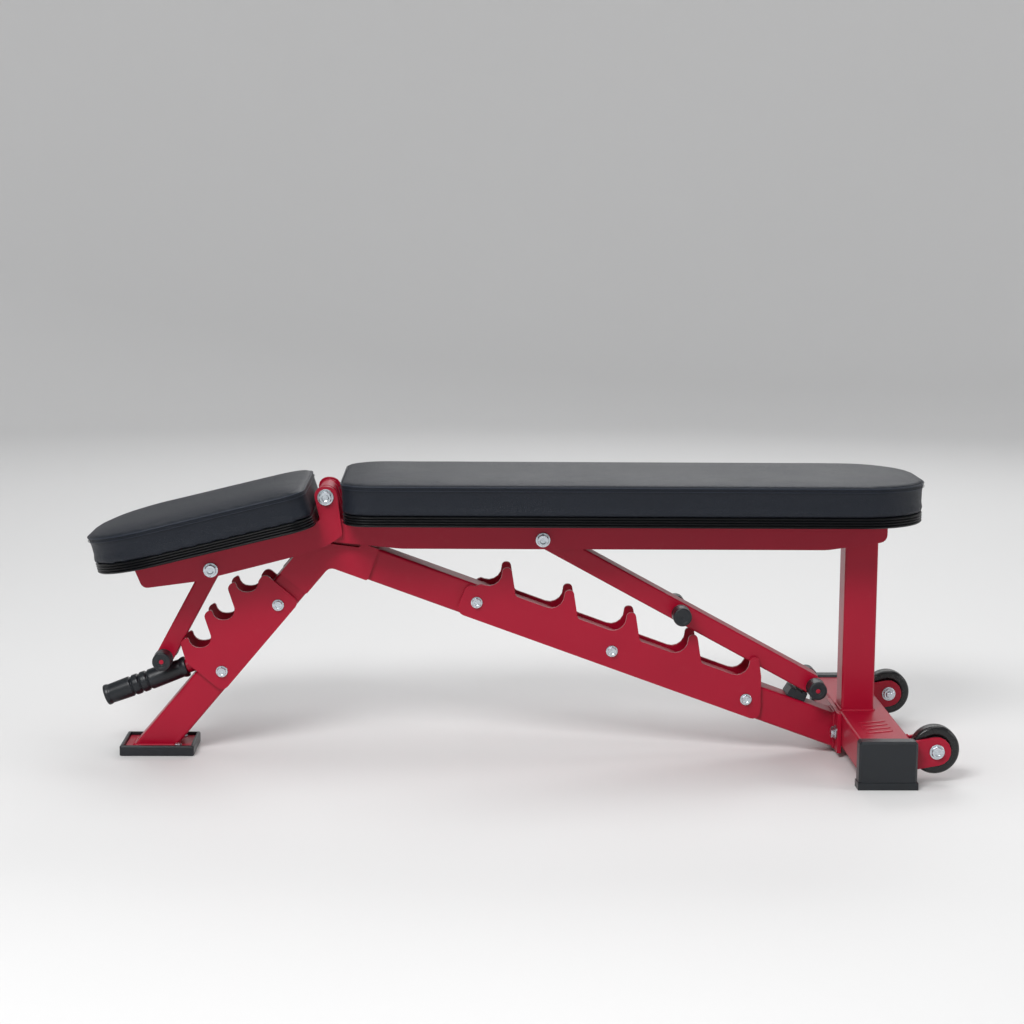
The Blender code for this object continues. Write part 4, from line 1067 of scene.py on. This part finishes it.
class BENCH_OT_wheels(BenchOperator):
    """Makes the wheels: tyres with a rounded tread and hubs with a raised rim"""

    bl_idname = "bench.make_wheels"
    bl_label = "Wheels"

    def execute(self, context):
        for side in ("near", "far"):
            low, high = box_of("tyre_" + side)
            middle = (low + high) / 2
            radius, half = float(high[0] - low[0]) / 2, float(high[1] - low[1]) / 2
            hub_low, hub_high = box_of("hub_" + side)
            rim, hub_half = float(hub_high[0] - hub_low[0]) / 2, float(hub_high[1] - hub_low[1]) / 2
            bore = rim + 0.0003
            tread = [
                (half - 0.001, bore, 0.0008),
                (half, rim + 0.0040, 0.0010),
                (half, radius - 0.0030, 0.0016),
                (half - 0.0034, radius, 0.0024),
            ]
            loop = mirrored_loop(bore, tread, [(0.0, radius, 0.0030)])
            piece = turned_ring(f"tyre_{side}_tread", middle, (0, 1, 0), loop, finish("tyre"), 128)
            settle(piece, "tyre_" + side)
            bore, web, lip = 0.0054, half - 0.0060, half - 0.0010
            dish = [
                (hub_half, bore, 0.0004),
                (hub_half, 0.0095, 0.0006),
                (web, 0.0120, 0.0010),
                (web, rim - 0.0035, 0.0010),
                (lip, rim - 0.0025, 0.0010),
                (lip, rim, 0.0003),
            ]
            loop = mirrored_loop(bore, dish)
            piece = turned_ring(f"hub_{side}_moulding", middle, (0, 1, 0), loop, finish("hub"), 96)
            settle(piece, "hub_" + side)
        return {"FINISHED"}


class BENCH_OT_rubber(BenchOperator):
    """Rounds and textures the moulded caps, the front foot and the bumpers"""

    bl_idname = "bench.dress_rubber"
    bl_label = "Rubber mouldings"

    def execute(self, context):
        rubber = finish("rubber")
        for node in ("base_cap_near", "base_cap_far"):
            dressed(node, rubber, self.metal.moulded_edge, 3, 20.0)
        dressed("front_foot", rubber, self.metal.moulded_edge * 0.7, 3)
        dressed("post_bumper", rubber, self.metal.moulded_edge * 0.6, 3)
        dressed("strut_rest_bumper", rubber, self.metal.edge, 2)
        return {"FINISHED"}


class BENCH_OT_stage(BenchOperator):
    """Sets out the floor, the lights and the camera"""

    bl_idname = "bench.set_stage"
    bl_label = "Floor, lights and camera"

    def execute(self, context):
        self.floor()
        self.lights()
        self.camera()
        return {"FINISHED"}

    def floor(self):
        """A round floor that sweeps up into a wall on a quarter circle."""
        flat, sweep, tall = 4.6, 1.8, 5.0
        turn = np.linspace(0, math.pi / 2, 20)
        radius = np.r_[0.0005, 1.0, 2.5, flat + sweep * np.sin(turn), flat + sweep]
        rise = np.r_[0, 0, 0, sweep * (1 - np.cos(turn)), tall]
        grid = spun((0, 0, 0), (0, 0, 1), np.column_stack([rise, radius]), 128)
        mesh = bpy.data.meshes.new("floor")
        faces = tube_faces(*grid.shape[:2])
        faces.append(list(range(grid.shape[1])))
        mesh.from_pydata(grid.reshape(-1, 3).tolist(), [], faces)
        body = bmesh.new()
        body.from_mesh(mesh)
        bmesh.ops.recalc_face_normals(body, faces=body.faces)
        if max(body.faces, key=lambda face: -face.calc_center_median().length).normal.z < 0:
            bmesh.ops.reverse_faces(body, faces=body.faces)
        body.to_mesh(mesh)
        body.free()
        mesh.shade_smooth()
        mesh.materials.append(finish("floor"))
        floor = bpy.data.objects.new("floor", mesh)
        bpy.context.scene.collection.objects.link(floor)

    def light(self, name, place, aim, size, power):
        """A rectangular lamp at a place, turned towards its aim."""
        data = bpy.data.lights.new(name, "AREA")
        data.shape = "RECTANGLE"
        data.size, data.size_y = size
        data.energy = power
        lamp = bpy.data.objects.new(name, data)
        bpy.context.scene.collection.objects.link(lamp)
        lamp.location = place
        lamp.rotation_mode = "QUATERNION"
        lamp.rotation_quaternion = (Vector(aim) - Vector(place)).to_track_quat("-Z", "Y")

    def lights(self):
        """A wide box overhead, a key high in front, and weaker lights behind and at the ends."""
        world = bpy.data.worlds.new("studio")
        world.use_nodes = True
        sky = world.node_tree.nodes["Background"].inputs
        sky["Color"].default_value = (0.93, 0.96, 1.0, 1)
        sky["Strength"].default_value = 0.24
        bpy.context.scene.world = world
        bpy.context.scene.view_settings.view_transform = "Standard"
        self.light("overhead", (0.0, 0.8, 4.4), (0, 0.8, 0), (5.0, 4.0), 88)
        self.light("key", (-1.3, -3.0, 3.1), (0, 0, 0.2), (1.8, 1.2), 125)
        self.light("back_fill", (0.8, 3.6, 2.6), (0, 0, 0.3), (2.6, 1.2), 38)
        self.light("end_fill", (3.6, -0.8, 1.6), (0.2, 0, 0.3), (1.2, 1.2), 20)

    def camera(self):
        """A long lens almost square to the bench, a little above it and turned slightly right."""
        yaw, pitch, roll = math.radians(1.364), math.radians(8.241), math.radians(0.422)
        level_x, level_y = math.sin(yaw) * math.cos(pitch), math.cos(yaw) * math.cos(pitch)
        forward = Vector((level_x, level_y, -math.sin(pitch)))
        right = Vector((math.cos(yaw), -math.sin(yaw), 0))
        above = right.cross(forward)
        level = right * math.cos(roll) + above * math.sin(roll)
        upright = above * math.cos(roll) - right * math.sin(roll)
        data = bpy.data.cameras.new("camera")
        data.sensor_width = 36.0
        data.lens = 80.86
        camera = bpy.data.objects.new("camera", data)
        bpy.context.scene.collection.objects.link(camera)
        turn = Matrix((level, upright, -forward)).transposed().to_4x4()
        camera.matrix_world = Matrix.Translation((HINGE.x + 0.1967, -3.4488, 0.8683)) @ turn
        bpy.context.scene.camera = camera


GROUPS = {"bench_pads": PadSizes, "bench_metal": MetalSizes, "bench_colours": Colours}
OPERATORS = (
    BENCH_OT_stage,
    BENCH_OT_pads,
    BENCH_OT_bolts,
    BENCH_OT_caps,
    BENCH_OT_handle,
    BENCH_OT_wheels,
    BENCH_OT_rubber,
    BENCH_OT_frame,
    BENCH_OT_welds,
    BENCH_OT_mark,
)


class BENCH_PT_panel(bpy.types.Panel):
    """Lists the bench's sizes, colours and pieces."""

    bl_idname = "BENCH_PT_panel"
    bl_label = "Weight bench"
    bl_space_type = "VIEW_3D"
    bl_region_type = "UI"
    bl_category = "Bench"

    def draw(self, context):
        for group, kind in GROUPS.items():
            column = self.layout.column()
            for key in kind.__annotations__:
                column.prop(getattr(context.scene, group), key)
        for operator in OPERATORS:
            self.layout.operator(operator.bl_idname)


def register():
    for kind in (*GROUPS.values(), *OPERATORS, BENCH_PT_panel):
        bpy.utils.register_class(kind)
    for name, kind in GROUPS.items():
        setattr(bpy.types.Scene, name, PointerProperty(type=kind))


def unregister():
    for name in GROUPS:
        delattr(bpy.types.Scene, name)
    for kind in reversed((*GROUPS.values(), *OPERATORS, BENCH_PT_panel)):
        bpy.utils.unregister_class(kind)


def main():
    register()
    for operator in OPERATORS:
        group, name = operator.bl_idname.split(".")
        getattr(getattr(bpy.ops, group), name)()


if __name__ == "__main__":
    main()
